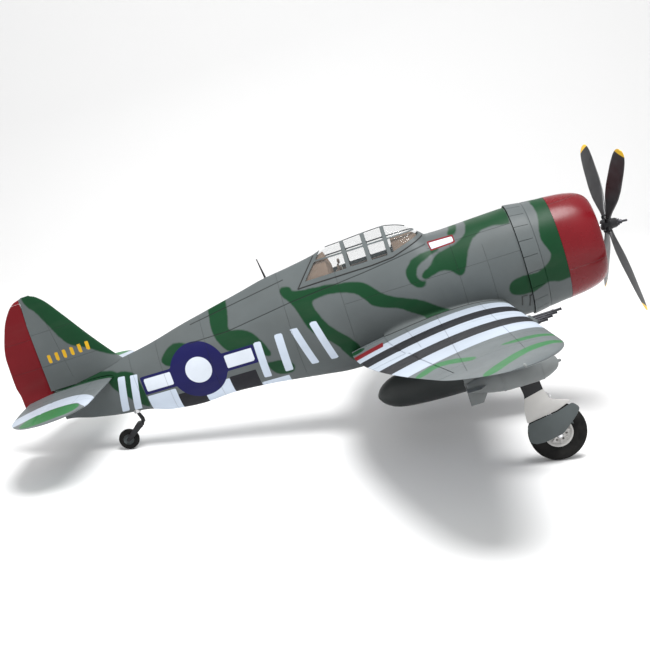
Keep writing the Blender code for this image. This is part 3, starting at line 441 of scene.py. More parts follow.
def rounded_tip(edge, tip, share, start):
    """Brings an edge in to the tip, on a quarter ellipse that starts at a share of the span."""
    t = max(0.0, share - start) / (1 - start)
    return edge + (tip - edge) * (1 - math.sqrt(1 - t * t))


def wing_edges(s):
    share = min(s / HALF_SPAN, TIP_END)
    tip = -266
    return rounded_tip(-199.0, tip, share, 0.86), rounded_tip(-470 + 155 * share * share, tip, share, 0.88)


def tail_edges(s):
    share = min(s / TAIL_HALF_SPAN, TIP_END)
    front, back, tip = -873 - 4 * share**2, -1022 + 24 * share**2, -946
    return rounded_tip(front, tip, share, 0.74), rounded_tip(back, tip, share, 0.62)


def fin_edges(s):
    if s < 20:
        return -838, -1042 + max(0.0, -s) * 0.5
    return spline(FIN, s, 1), spline(FIN, s, 2)


WING = Surface(
    (0, 0, WING_PLANE_Z),
    (0, -math.cos(DIHEDRAL), math.sin(DIHEDRAL)),
    (0, math.sin(DIHEDRAL), math.cos(DIHEDRAL)),
    wing_edges,
    lambda s: 0.148 - 0.045 * min(s / HALF_SPAN, 1.0),
    0.01,
)
TAIL = Surface((0, 0, TAIL_Z), (0, -1, 0), (0, 0, 1), tail_edges, lambda s: 0.075)
FIN_SURFACE = Surface((0, 0, 0), (0, 0, 1), (0, 1, 0), fin_edges, lambda s: 0.078)
FLAP = Flap(WING, (72, 303), (-412, -385), low=True)
AILERON = Flap(WING, (311, 545), (-380, -334))
ELEVATOR = Flap(TAIL, (10, 222), (ELEVATOR_HINGE_X, ELEVATOR_HINGE_X))
RUDDER = Flap(FIN_SURFACE, (-28, 176), (RUDDER_HINGE_X, RUDDER_HINGE_X))


# Markings: each layer of paint is a signed distance in mm, negative where the paint is.
# A later layer covers an earlier one. Outlines are (x, z) on the body and fin, (y, x) on the wing and tail.

LAYERS = ("green", "pale", "red", "white", "black", "navy", "crest", "yellow")
FAR = 60.0

GREENS = [
    [(-294, 57), (-326, 53), (-341, 41), (-346, 27), (-343, 15), (-331, 4), (-321, 4), (-316, 10),
     (-326, 16), (-329, 25), (-323, 38), (-307, 45), (-275, 53)],
    [(-215, 120), (-228, 67), (-241, 57), (-253, 53), (-276, 50), (-293, 43), (-303, 32), (-318, 26),
     (-322, 19), (-316, 14), (-302, 18), (-286, 20), (-273, 16), (-264, 4), (-256, 3), (-247, 17),
     (-239, 35), (-227, 51), (-210, 60), (-190, 62), (-166, 59), (-157, 57), (-157, 120)],
    [(-263, 69), (-250, 78), (-246, 120), (-232, 120), (-240, 74), (-252, 64)],
    [(-124, 120), (-114, 73), (-112, 59), (-120, 35), (-123, 20), (-113, 0), (-114, -12), (-128, -25),
     (-146, -29), (-170, -26), (-188, -31), (-194, -43), (-189, -53), (-170, -60), (-149, -58),
     (-125, -48), (-110, -58), (-80, -52), (-80, 120)],
    [(-678, 120), (-648, 120), (-648, 55), (-658, 28), (-636, 25), (-618, 15), (-606, -4), (-597, -29),
     (-602, -35), (-623, -21), (-634, -12), (-665, -8), (-677, 9), (-685, 35)],
    [(-609, -44), (-578, -46), (-566, -62), (-574, -76), (-604, -70), (-613, -43)],
    [(-553, 70), (-535, 67), (-533, 56), (-489, 54), (-449, 48), (-420, 42), (-406, 32), (-391, 13),
     (-367, -1), (-339, -12), (-321, -24), (-308, -36), (-286, -48), (-278, -70), (-325, -70),
     (-333, -46), (-349, -34), (-372, -17), (-410, -4), (-424, 17), (-441, 31), (-473, 37), (-504, 37),
     (-507, 28), (-498, 2), (-485, -20), (-464, -41), (-448, -64), (-466, -90), (-477, -71), (-487, -48),
     (-511, -26), (-524, -11), (-530, 11), (-541, 43), (-554, 55)],
    [(-753, 36), (-733, 27), (-716, 21), (-730, -5), (-767, -5), (-785, 7), (-778, 22)],
    [(-868, 15), (-844, 12), (-831, -1), (-828, -51), (-832, -66), (-858, -35), (-882, -9), (-884, 8)],
    [(-984, 24), (-937, 30), (-900, 26), (-862, 16), (-866, 4), (-930, 8), (-984, 14)],
]  # fmt: skip
FIN_GREEN = [
    (-982, 220), (-800, 220), (-800, 30), (-858, 42), (-882, 56), (-902, 71), (-933, 87), (-949, 121),
    (-963, 155), (-979, 170),
]  # fmt: skip
ROUNDEL = (-726, -21)
EMBLEM = [(-296, 68), (-252, 67), (-252, 55), (-294, 53.5)]
LIGHT_BLOCKS = [
    [(-622, -3), (-609, -4), (-611, -70), (-624, -69)],
    [(-584, 0), (-570, -1), (-572, -69), (-586, -69)],
    [(-556, 1), (-543, 0), (-526, -70), (-539, -69)],
    [(-522, 3), (-509, 2), (-492, -71), (-505, -70)],
    [(-866, 6), (-853, 5), (-868, -57), (-881, -56)],
    [(-844, 3), (-831, 2), (-846, -60), (-859, -59)],
]
WING_GREENS = [[(60, -445), (104, -445), (100, -475), (60, -475)]]
WING_PALES = [
    [(493, -266), (489, -245), (486, -221), (490, -198), (506, -196), (507, -224), (511, -247),
     (500, -266)],
    [(600, -306), (584, -285), (567, -262), (551, -239), (545, -216), (548, -200), (562, -202),
     (565, -218), (575, -239), (590, -261), (607, -282), (612, -302)],
    [(474, -380), (453, -354), (465, -330), (488, -315), (508, -300), (523, -302), (510, -318),
     (490, -333), (478, -349), (490, -362), (492, -378)],
]  # fmt: skip
# Edges of the wing's stripes at STRIPE_X; elsewhere the slant shifts them
STRIPES = (120, 184, 250, 320, 380, 444)
STRIPE_X = -320
STRIPE_SLANT = 0.18
# Bands round the belly: back, front, top
WHITE_BANDS = [(-828, -776, -41), (-730, -681, -51), (-633, -583, -77)]
BLACK_BANDS = [(-776, -730, -53), (-681, -633, -49)]
BAND_BOTTOM = -130
RED_BACK_X = -91.2
TAIL_GREEN = [(0, -850), (22, -862), (30, -880), (27, -920), (20, -960), (14, -990), (0, -990)]
TAIL_PALE = [
    (201, -984), (182, -981), (166, -965), (166, -931), (172, -901), (191, -886), (209, -890),
    (223, -902), (232, -930), (231, -961), (220, -980),
]  # fmt: skip
TAIL_BAND = [
    (143, -1025), (115, -994), (102, -962), (106, -925), (120, -900), (134, -885), (160, -868), (205, -868),
    (194, -885), (174, -894), (169, -908), (163, -943), (172, -971), (187, -990), (196, -1025),
]  # fmt: skip


def polygon_distance(u, v, outline):
    """Signed distance of points to a polygon, negative inside."""
    corners = np.array(outline, float)
    nearest = np.full(len(u), 1e12)
    inside = np.zeros(len(u), bool)
    for (ax, ay), (bx, by) in zip(corners, np.roll(corners, -1, axis=0)):
        ex, ey = bx - ax, by - ay
        wx, wy = u - ax, v - ay
        t = np.clip((wx * ex + wy * ey) / (ex * ex + ey * ey), 0, 1)
        nearest = np.minimum(nearest, (wx - ex * t) ** 2 + (wy - ey * t) ** 2)
        crosses = (ay > v) != (by > v)
        if by != ay:
            inside ^= crosses & (u < (bx - ax) * (v - ay) / (by - ay) + ax)
    return np.sqrt(nearest) * np.where(inside, -1, 1)


def smooth_outline(outline, rounds=3):
    """Cuts the corners of an outline, so that sprayed edges run in curves."""
    points = [Vector(p) for p in outline]
    for _ in range(rounds):
        longer = []
        for a, b in zip(points, points[1:] + points[:1]):
            longer += [a * 0.75 + b * 0.25, a * 0.25 + b * 0.75]
        points = longer
    return [tuple(p) for p in points]


def nearest_of(u, v, outlines, smooth=True):
    """Signed distance to the nearest of some outlines."""
    found = np.full(len(u), FAR)
    for outline in outlines:
        line = smooth_outline(outline) if smooth else outline
        found = np.minimum(found, polygon_distance(u, v, line))
    return found


def block(u, v, low_u, high_u, low_v, high_v):
    """Signed distance to an upright rectangle."""
    du = np.maximum(low_u - u, u - high_u)
    dv = np.maximum(low_v - v, v - high_v)
    return np.where((du < 0) & (dv < 0), np.maximum(du, dv), np.hypot(np.maximum(du, 0), np.maximum(dv, 0)))


def belly_bands(x, z, rows):
    return np.minimum.reduce([block(x, z, back, front, BAND_BOTTOM, top) for back, front, top in rows])


def paint_body(p):
    x, z = p[:, 0], p[:, 2]
    light = nearest_of(x, z, LIGHT_BLOCKS, smooth=False)
    badge_x, badge_z = np.abs(x - ROUNDEL[0]), z - ROUNDEL[1]
    radius = np.hypot(badge_x, badge_z)
    bars = block(badge_x, badge_z, 40, 103, -17, 16)
    crest = np.minimum(radius - 23, block(badge_x, badge_z, 49, 98, -12, 11))
    emblem = polygon_distance(x, z, EMBLEM)
    return {
        "green": nearest_of(x, z, GREENS),
        "white": np.minimum(light, belly_bands(x, z, WHITE_BANDS)),
        "black": belly_bands(x, z, BLACK_BANDS),
        "navy": np.minimum(radius - 49, bars),
        "red": emblem,
        "crest": np.minimum(crest, emblem + 2.3),
    }


def paint_cowl(p):
    return {**paint_body(p), "red": RED_BACK_X - p[:, 0]}


def serial_bar(x, z, i):
    """One of the bars in place of the serial, each a step forward and up."""
    back, low = -972 + 14 * i, 63 + 0.6 * i
    return block(x, z, back, back + 6, low, low + 15)


def paint_fin(p):
    x, z = p[:, 0], p[:, 2]
    return {
        "green": nearest_of(x, z, [FIN_GREEN]),
        "yellow": np.minimum.reduce([np.full(len(x), FAR)] + [serial_bar(x, z, i) for i in range(6)]),
        "red": np.maximum(x + 986, 150 - z),
    }


def paint_wing(p):
    x, y = p[:, 0], np.abs(p[:, 1])
    across = y + STRIPE_SLANT * (x - STRIPE_X)
    bands = [np.maximum(low - across, across - high) for low, high in zip(STRIPES, STRIPES[1:])]
    red = block(across, x, 98, 142, -490, -413)
    return {
        "green": nearest_of(y, x, WING_GREENS),
        "pale": nearest_of(y, x, WING_PALES),
        "red": red,
        "white": np.maximum(np.minimum.reduce([np.full(len(x), FAR), *bands[::2]]), -red),
        "black": np.minimum.reduce([np.full(len(x), FAR), *bands[1::2]]),
    }


def paint_tail(p):
    x, y = p[:, 0], np.abs(p[:, 1])
    outlines = {"green": TAIL_GREEN, "pale": TAIL_PALE, "white": TAIL_BAND}
    return {layer: nearest_of(y, x, [outline]) for layer, outline in outlines.items()}


# Materials

GREY = (0.124, 0.140, 0.145)
# A darker copy of GREY for the fuselage and fin: painted shade on their sides
SHADED_FLANK_GREY = (0.100, 0.113, 0.115)
COLOURS = {
    "green": (0.007, 0.045, 0.017),
    "pale": (0.032, 0.150, 0.052),
    "red": (0.175, 0.008, 0.013),
    "white": (0.54, 0.61, 0.71),
    "black": (0.014, 0.014, 0.018),
    "navy": (0.010, 0.010, 0.075),
    "crest": (0.64, 0.69, 0.76),
    "yellow": (0.62, 0.36, 0.02),
}
# The wing and tail tops take more light than the body's sides, so their white is painted darker here: painted
# shade
SHADED_WHITE_TONES = {**COLOURS, "white": (0.41, 0.46, 0.53)}
# Half the width in mm over which a sprayed or a masked edge fades
EDGE = {"green": 1.9, "pale": 1.5}
CRISP = 0.35
SEAM_COLOUR = (0.028, 0.031, 0.031)
# Colour of the painted shadow under raised edges
STEP_SHADOW_COLOUR = (0.016, 0.019, 0.019)
DUST_COLOUR = (0.10, 0.095, 0.085)


class Nodes:
    """Small helper round one material's node tree."""

    def __init__(self, name, **values):
        self.material = bpy.data.materials.new(name)
        self.material.use_nodes = True
        self.tree = self.material.node_tree
        self.shader = self.tree.nodes["Principled BSDF"]
        for key, value in values.items():
            self.shader.inputs[key.replace("_", " ")].default_value = value

    def add(self, kind, **values):
        node = self.tree.nodes.new(kind)
        for key, value in values.items():
            setattr(node, key, value)
        return node

    def feed(self, value, socket):
        """Gives a socket a number or a colour, or links an output to it."""
        if isinstance(value, tuple):
            socket.default_value = (*value, 1.0)
        elif isinstance(value, (int, float)):
            socket.default_value = value
        else:
            self.tree.links.new(value, socket)

    def math(self, operation, *values):
        node = self.add("ShaderNodeMath", operation=operation)
        for socket, value in zip(node.inputs, values):
            self.feed(value, socket)
        return node.outputs[0]

    def attribute(self, name, output="Fac"):
        return self.add("ShaderNodeAttribute", attribute_name=name).outputs[output]

    def noise(self, scale, detail, squeeze=None):
        """Noise over the aircraft frame in metres, drawn out along the axes with a small squeeze."""
        node = self.add("ShaderNodeTexNoise")
        self.feed(scale, node.inputs["Scale"])
        self.feed(detail, node.inputs["Detail"])
        self.feed(0.55, node.inputs["Roughness"])
        source = self.attribute("air", "Vector")
        if squeeze:
            mapping = self.add("ShaderNodeMapping")
            mapping.inputs["Scale"].default_value = squeeze
            self.feed(source, mapping.inputs["Vector"])
            source = mapping.outputs["Vector"]
        self.feed(source, node.inputs["Vector"])
        return node.outputs["Fac"]

    def ramp(self, value, low, high, out_low=0.0, out_high=1.0, smooth=False):
        node = self.add("ShaderNodeMapRange", interpolation_type="SMOOTHSTEP" if smooth else "LINEAR")
        for key, number in zip(("From Min", "From Max", "To Min", "To Max"), (low, high, out_low, out_high)):
            self.feed(number, node.inputs[key])
        self.feed(value, node.inputs["Value"])
        return node.outputs["Result"]

    def mix(self, factor, a, b):
        node = self.add("ShaderNodeMix", data_type="RGBA")
        for index, value in ((0, factor), (6, a), (7, b)):
            self.feed(value, node.inputs[index])
        return node.outputs[2]

    def mottle(self, value, dark, light, low=0.3, high=0.7):
        """Goes from the dark to the light colour with a noise value."""
        return self.mix(self.ramp(value, low, high), dark, light)

    def colour(self, value):
        self.feed(value, self.shader.inputs["Base Color"])

    def rough(self, value, smoothest, roughest, low=0.3, high=0.7):
        self.feed(self.ramp(value, low, high, smoothest, roughest), self.shader.inputs["Roughness"])

    def bump(self, height, distance, strength, before=None):
        node = self.add("ShaderNodeBump")
        self.feed(distance, node.inputs["Distance"])
        self.feed(strength, node.inputs["Strength"])
        self.feed(height, node.inputs["Height"])
        if before:
            self.feed(before, node.inputs["Normal"])
        self.feed(node.outputs["Normal"], self.shader.inputs["Normal"])
        return node.outputs["Normal"]


def shade(colour, factor):
    """A lighter or darker tone of a colour."""
    return tuple(c * factor for c in colour)


def seam_distance(n, seams):
    """Distance in mm to the nearest seam. A seam is (axis, at, other axis, from, to) and, where it slants,
    a slope. It is measured in the aircraft frame, with Y the same on both sides."""
    scale = n.add("ShaderNodeVectorMath", operation="SCALE")
    n.feed(1000.0, scale.inputs["Scale"])
    n.feed(n.attribute("air", "Vector"), scale.inputs[0])
    split = n.add("ShaderNodeSeparateXYZ")
    n.feed(scale.outputs[0], split.inputs[0])
    axes = {"x": split.outputs[0], "y": n.math("ABSOLUTE", split.outputs[1]), "z": split.outputs[2]}
    nearest = None
    for axis, at, other, low, high, *slope in seams:
        middle = (low + high) / 2
        run = n.math("SUBTRACT", axes[other], middle)
        offset = n.math("SUBTRACT", axes[axis], at)
        if slope:
            offset = n.math("SUBTRACT", offset, n.math("MULTIPLY", run, slope[0]))
        past = n.math("SUBTRACT", n.math("ABSOLUTE", run), (high - low) / 2)
        found = n.math("MAXIMUM", n.math("ABSOLUTE", offset), past)
        nearest = found if nearest is None else n.math("MINIMUM", nearest, found)
    return nearest


def paint_material(name, base=GREY, layers=LAYERS, roughness=0.40, shine=0.12, seams=(), steps=(),
                   tones=COLOURS):  # fmt: skip
    """Satin model paint with its markings, sprayed edges, dust and faint orange peel."""
    n = Nodes(name, Specular_IOR_Level=shine)
    cloud = n.noise(14, 5)
    fine = n.noise(420, 3)
    value = n.mottle(cloud, shade(base, 0.93), shade(base, 1.07))
    wobble = n.ramp(n.noise(60, 3), 0, 1, -2.2, 2.2)
    for layer in layers:
        distance = n.attribute("p_" + layer)
        edge = EDGE.get(layer, CRISP)
        if layer in EDGE:
            distance = n.math("ADD", distance, wobble)
        cover = n.ramp(distance, -edge, edge, 1.0, 0.0, smooth=True)
        worn = n.mottle(cloud, shade(tones[layer], 0.9), shade(tones[layer], 1.08), 0.25, 0.75)
        value = n.mix(cover, value, worn)
    line = n.ramp(seam_distance(n, seams), 0.15, 0.5, 1.0, 0.0, smooth=True)
    value = n.mix(n.math("MULTIPLY", line, 0.4), value, SEAM_COLOUR)
    # The darker lines at raised edges are painted shadow under the edge; they also get a small bump
    if steps:
        step_shadow_distance = seam_distance(n, steps)
        value = n.mix(n.ramp(step_shadow_distance, 0.3, 1.1, 0.75, 0.0, smooth=True), value, STEP_SHADOW_COLOUR)
        line = n.math("MAXIMUM", line, n.ramp(step_shadow_distance, 0.4, 1.4, 1.0, 0.0, smooth=True))
    streak = n.noise(30, 4, squeeze=(0.25, 1.0, 1.0))
    n.colour(n.mix(n.ramp(streak, 0.52, 0.78, 0.0, 0.10), value, DUST_COLOUR))
    n.rough(n.noise(26, 4), roughness - 0.05, roughness + 0.09)
    first = n.bump(fine, 0.00006, 0.5)
    n.bump(n.math("MULTIPLY", line, -1.0), 0.0006, 0.8, before=first)
    return n.material


def plain_material(name, colour, roughness=0.45, spread=0.1, grain=300.0, depth=0.00005, **more):
    n = Nodes(name, **more)
    n.colour(n.mottle(n.noise(22, 5), shade(colour, 1 - spread), shade(colour, 1 + spread)))
    n.rough(n.noise(45, 4), roughness - 0.06, roughness + 0.08)
    n.bump(n.noise(grain, 3), depth, 0.6)
    return n.material


def metal_material(name, colour, roughness, squeeze=(1.0, 1.0, 30.0)):
    n = Nodes(name, Metallic=1.0)
    brush = n.noise(160, 4, squeeze=squeeze)
    n.colour(n.mottle(brush, shade(colour, 0.85), colour))
    n.rough(brush, roughness - 0.08, roughness + 0.1, 0.25, 0.75)
    n.bump(brush, 0.00003, 0.5)
    return n.material


def tyre_material(name):
    n = Nodes(name, Specular_IOR_Level=0.12)
    dust = n.noise(55, 5)
    n.colour(n.mottle(dust, (0.006, 0.006, 0.006), (0.022, 0.021, 0.020), 0.4, 0.75))
    n.rough(dust, 0.62, 0.82)
    n.bump(n.noise(700, 3), 0.00012, 0.7)
    return n.material


def glass_material(name):
    n = Nodes(name, Roughness=0.04, IOR=1.45, Specular_IOR_Level=0.4, Alpha=0.08)
    n.colour(n.mix(n.noise(12, 3), (0.20, 0.23, 0.24), (0.28, 0.31, 0.32)))
    n.bump(n.noise(18, 2), 0.0002, 0.25)
    n.material.surface_render_method = "BLENDED"
    return n.material


def blade_material(name):
    """Dark blades with yellow tips."""
    n = Nodes(name)
    dark = n.mottle(n.noise(30, 5), (0.014, 0.014, 0.015), (0.034, 0.034, 0.037))
    n.colour(n.mix(n.ramp(n.attribute("radius"), 169.6, 170.6), dark, (0.78, 0.47, 0.03)))
    n.rough(n.noise(60, 4), 0.27, 0.42)
    n.bump(n.noise(350, 3), 0.00004, 0.5)
    return n.material


def wood_material(name):
    n = Nodes(name)
    grain = n.noise(60, 6, squeeze=(1.0, 1.0, 9.0))
    n.colour(n.mottle(grain, (0.36, 0.22, 0.10), (0.55, 0.38, 0.20)))
    n.rough(grain, 0.55, 0.7)
    n.bump(grain, 0.0002, 0.5)
    return n.material


BODY_SEAMS = [("x", -213, "z", -60, 40)]
for at, top in ((-262, 54), (-456, 66), (-553, 96), (-700, 90), (-786, 60), (-838, 50)):
    BODY_SEAMS.append(("x", at, "z", -110, top))
BODY_SEAMS += [("z", 14, "x", -456, -158), ("z", 58, "x", -298, -158)]
# Stronger lines at raised edges, painted shadow under the edge: by the tailplane, along the rear deck and
# below the canopy
BODY_STEP_SHADOWS = [
    ("z", 36, "x", -984, -856, 0.078),
    ("z", 66.5, "x", -718, -544, 0.144),
    ("z", 26.5, "x", -726, -657, 0.015),
    ("z", 34.5, "x", -657, -542, 0.13),
    ("z", 47.5, "x", -542, -412, 0.085),
    ("z", 56.5, "x", -412, -347, 0.108),
    ("z", 63, "x", -347, -300, 0.12),
]
WING_SEAMS = [("x", -246, "y", 60, 560), ("x", -318, "y", 60, 560), ("x", -366, "y", 60, 310, 0.06)]
for at, back in ((118, -412), (176, -404), (262, -396), (348, -372), (372, -372), (456, -360)):
    WING_SEAMS.append(("y", at, "x", back, -200))
WING_SEAMS.append(("y", 520, "x", -350, -205))
TAIL_SEAMS = [("x", -905, "y", 10, 190)]
TAIL_SEAMS += [("y", at, "x", -955, -870) for at in (52, 104, 158)]
TAIL_SEAMS += [("y", at, "x", -1020, -962) for at in (70, 140)]
FIN_SEAMS = [("z", 60, "x", -985, -850), ("z", 118, "x", -985, -900), ("x", -948, "z", 30, 150, -0.12)]
COWL_SEAMS = [("z", -42, "x", -91, -26), ("z", 66, "x", -91, -40)]
RED_SEAMS = [("z", at, "x", -1060, -990) for at in (8, 60, 112)]

ENAMEL = {"Specular_IOR_Level": 0.2}
RED_BASE = (0.135, 0.0065, 0.010)
COWL_BASE = (0.150, 0.007, 0.011)
TAN = (0.185, 0.130, 0.095)
BLACK = (0.018, 0.018, 0.020)
MATERIALS = {
    "paint": paint_material("camouflage_paint", SHADED_FLANK_GREY, seams=BODY_SEAMS, steps=BODY_STEP_SHADOWS),
    "wing": paint_material("wing_paint", seams=WING_SEAMS, tones=SHADED_WHITE_TONES),
    "tail": paint_material("tail_paint", seams=TAIL_SEAMS, tones=SHADED_WHITE_TONES),
    "fin": paint_material("fin_paint", SHADED_FLANK_GREY, seams=FIN_SEAMS),
    "red": paint_material("dark_red_paint", RED_BASE, (), 0.36, seams=RED_SEAMS),
    "cowl": paint_material("red_cowl_paint", COWL_BASE, (), 0.25, 0.22, COWL_SEAMS),
    "white": plain_material("white_enamel", (0.50, 0.49, 0.475), Specular_IOR_Level=0.25),
    "door": plain_material("grey_enamel", (0.078, 0.090, 0.092), **ENAMEL),
    "black": plain_material("black_enamel", BLACK, 0.40, **ENAMEL),
    "dark": plain_material("dark_store_paint", (0.040, 0.044, 0.044), 0.42, **ENAMEL),
    "store": plain_material("store_grey", (0.17, 0.182, 0.182), Specular_IOR_Level=0.15),
    "steel": metal_material("brushed_strut_metal", (0.62, 0.62, 0.63), 0.30),
    "chrome": metal_material("polished_slider", (0.80, 0.80, 0.82), 0.14),
    "cast": metal_material("cast_engine_metal", (0.30, 0.30, 0.31), 0.45, (1.0, 1.0, 1.0)),
    "gun": metal_material("blued_barrel", (0.045, 0.045, 0.05), 0.42),
    "tyre": tyre_material("tyre_rubber"),
    "glass": glass_material("canopy_plastic"),
    "blade": blade_material("propeller_paint"),
    "tan": plain_material("cockpit_tan", TAN, 0.7, 0.25, depth=0.0003, Specular_IOR_Level=0.15),
    "leather": plain_material("seat_leather", (0.085, 0.045, 0.022), 0.55, 0.25, depth=0.0002),
    "electronics": plain_material("moulded_case", (0.022, 0.032, 0.075), 0.4),
    "label": plain_material("shrink_wrap", (0.10, 0.24, 0.38), 0.3),
    "carbon": plain_material("carbon_tube", BLACK, 0.3, grain=900),
    "wood": wood_material("firewall_ply"),
    "dial": plain_material("dial_white", (0.62, 0.60, 0.50), 0.4),
    # Dark rubber for the brake lines and the canopy seal, also used as painted shadow along the wing root
    # fillet
    "rubber_and_shadow_line": plain_material("dark_gasket_and_shadow_line", (0.012, 0.013, 0.013), 0.6),
}


# Putting pieces in place


def set_attribute(mesh, name, values, kind="FLOAT"):
    """Writes a number or a vector for every vertex."""
    field = "vector" if kind == "FLOAT_VECTOR" else "value"
    mesh.attributes.new(name, kind, "POINT").data.foreach_set(field, values.astype(np.float32))


def place(name, mesh, body, slot, look, replaces=(), paint=None, at=None, radius=None):
    """Puts a mesh given in the aircraft frame into the scene, with its paint layers, riding on a body."""
    if at is not None:
        mesh = moved(mesh, at)
    count = len(mesh.vertices)
    flat = np.empty(count * 3, np.float32)
    mesh.vertices.foreach_get("co", flat)
    points = flat.reshape(-1, 3).astype(float)
    set_attribute(mesh, "air", flat * 0.001, "FLOAT_VECTOR")
    if paint:
        found = paint(points)
        for layer in LAYERS:
            set_attribute(mesh, "p_" + layer, np.clip(found.get(layer, np.full(count, FAR)), -FAR, FAR))
    if radius is not None:
        set_attribute(mesh, "radius", radius(points))
    mesh.transform(AIR)
    mesh.materials.clear()
    mesh.materials.append(MATERIALS[look])
    mesh.shade_smooth()
    mesh.set_sharp_from_angle(angle=math.radians(32))
    made = into_scene(name, mesh)
    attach(made, body)
    if replaces:
        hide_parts(*replaces)


def both(name, mesh, body, slot, look, node=None, **more):
    """The same piece on the right and on the left. "@" in the body's name stands for the side."""
    left = moved(mesh, MIRROR)
    for side, copy in (("right", mesh), ("left", left)):
        nodes = (f"{side}_{node}",) if node else ()
        place(f"{side}_{name}", copy, body.replace("@", side), slot, look, replaces=nodes, **more)


# The main leg, hanging and folded


def leg_frames():
    """Directions of the right leg (down it, inboard, forward), hanging and folded."""
    foot = Vector((MAIN_WHEEL.x, LEG_PIVOT.y, MAIN_WHEEL.z))
    down = (foot - LEG_PIVOT).normalized()
    up_normal = Vector((0, math.sin(DIHEDRAL), math.cos(DIHEDRAL)))
    inboard = Vector((0, math.cos(DIHEDRAL), -math.sin(DIHEDRAL)))
    folded = inboard * math.cos(LEG_SWEEP) + BACK * math.sin(LEG_SWEEP)
    hanging_frame = Matrix((down, LEFT, down.cross(LEFT))).transposed()
    folded_frame = Matrix((folded, up_normal, folded.cross(up_normal))).transposed()
    return hanging_frame, folded_frame


HANGING, FOLDED = leg_frames()
RETRACT_AXIS = (FOLDED @ HANGING.transposed()).to_quaternion().to_axis_angle()[0]
LEG_DOWN = HANGING @ Vector((1, 0, 0))
LEG_LENGTH = (HANGING.transposed() @ (MAIN_WHEEL - LEG_PIVOT)).x


def leg_point(u, v, n):
    """A point of the hanging right leg: u down the leg, v forward, n inboard."""
    return LEG_PIVOT + HANGING @ Vector((u, n, v))


def well_point(u, v, n):
    """The same point with the leg folded into the wing."""
    return LEG_PIVOT + FOLDED @ Vector((u, n, v))


def leg_plate(outline, low, high, at=leg_point):
    """An outline of (u, v) from one n to another."""
    return loft([[at(u, v, n) for u, v in outline] for n in (low, high)])


def leg_block(u0, u1, v0, v1, n0, n1, at=leg_point):
    return leg_plate([(u0, v0), (u1, v0), (u1, v1), (u0, v1)], n0, n1, at)


def well_meshes():
    """The space in the wing for the folded right leg, its wheel and its covers."""
    round_part = []
    for turn in turns(64, 0.5):
        u = LEG_LENGTH + 47.5 * math.cos(turn) - (8 if math.cos(turn) < 0 else 0)
        round_part.append((u, 47.5 * math.sin(turn)))
    covers = [(9, -14), (15, 27), (104, 17), (116, 22), (130, 49), (160, 52), (174, 45), (188, 20)]
    covers += [(188, -26), (178, -48), (166, -52), (132, -50), (110, -36), (100, -23)]
    return [
        leg_plate(round_part, -60, 26.2, well_point),
        leg_plate(covers, -61, -3.6, well_point),
        leg_block(8, 152, -8.5, 8.5, -62, 7.5, well_point),
        leg_block(104, 142, -7, 19.5, -60, 5.2, well_point),
        leg_block(-33.5, 9, -14.6, 14.6, -63, 8.6, well_point),
    ]


def both_sides(mesh):
    """Copies of a mesh on the right and on the left."""
    return [mesh.copy(), moved(mesh, MIRROR)]


# Fuselage and cowl


def glazing_prism(extra=0.0):
    """The space of the canopy seen from the side, grown at its ends and lower edge."""
    grown = []
    for i, (station, height) in enumerate(GLAZING):
        station += -extra if i in (0, 7) else extra if i in (5, 6) else 0.0
        grown.append((-station, -90, height - (extra if i < 6 else 0.0)))
    return prism(grown, (0, 180, 0))


def tail_slot():
    """The opening through the body for the tailplane."""
    front = tail_edges(0.0)[0] + 1
    outline = [(front, 0), (front - 2, 2.8), (front - 10, 5), (-898, 6.5), (-945, 6.5), (-951, 4)]
    outline += [(x, -z) for x, z in reversed(outline[1:])]
    return side_plate([(x, z + TAIL_Z) for x, z in outline], -40, 40)


WELLS = well_meshes()
STATIONS = [157.5] + stations_between(160, 288, 3) + stations_between(290, 328, 1.5)
STATIONS += stations_between(331, 978, 3) + [980.5]


def make_fuselage():
    cuts = [body_loft(stations_between(150, 920, 6), 72, 2.5), glazing_prism(0.45)]
    for well in WELLS:
        cuts += both_sides(well)
    cuts.append(tail_slot())
    socket = [(TAIL_STEER.x + 6.4 * math.cos(t), 6.4 * math.sin(t), -90) for t in turns(24)]
    cuts.append(prism(socket, (0, 0, 52)))
    shell = carve(body_loft(STATIONS, BODY_SIDES), cuts)
    place("fuselage", shell, "airframe", "camouflage", "paint", ("fuselage_shell",), paint=paint_body)


# Station and share of the body's section, from the outer skin round the lip and back inside
COWL_LIP = [
    (91, 1.0), (80, 0.989), (68, 0.975), (56, 0.952), (45, 0.922), (38.5, 0.894), (33, 0.862),
    (28.2, 0.822), (25, 0.78), (22.8, 0.74), (22, 0.7), (23.2, 0.668), (26, 0.65), (31, 0.64),
    (40, 0.636), (60, 0.64), (62, 0.66), (40, 0.662), (36, 0.69), (40, 0.84), (50, 0.897), (69, 0.948),
    (91, 0.972),
]  # fmt: skip


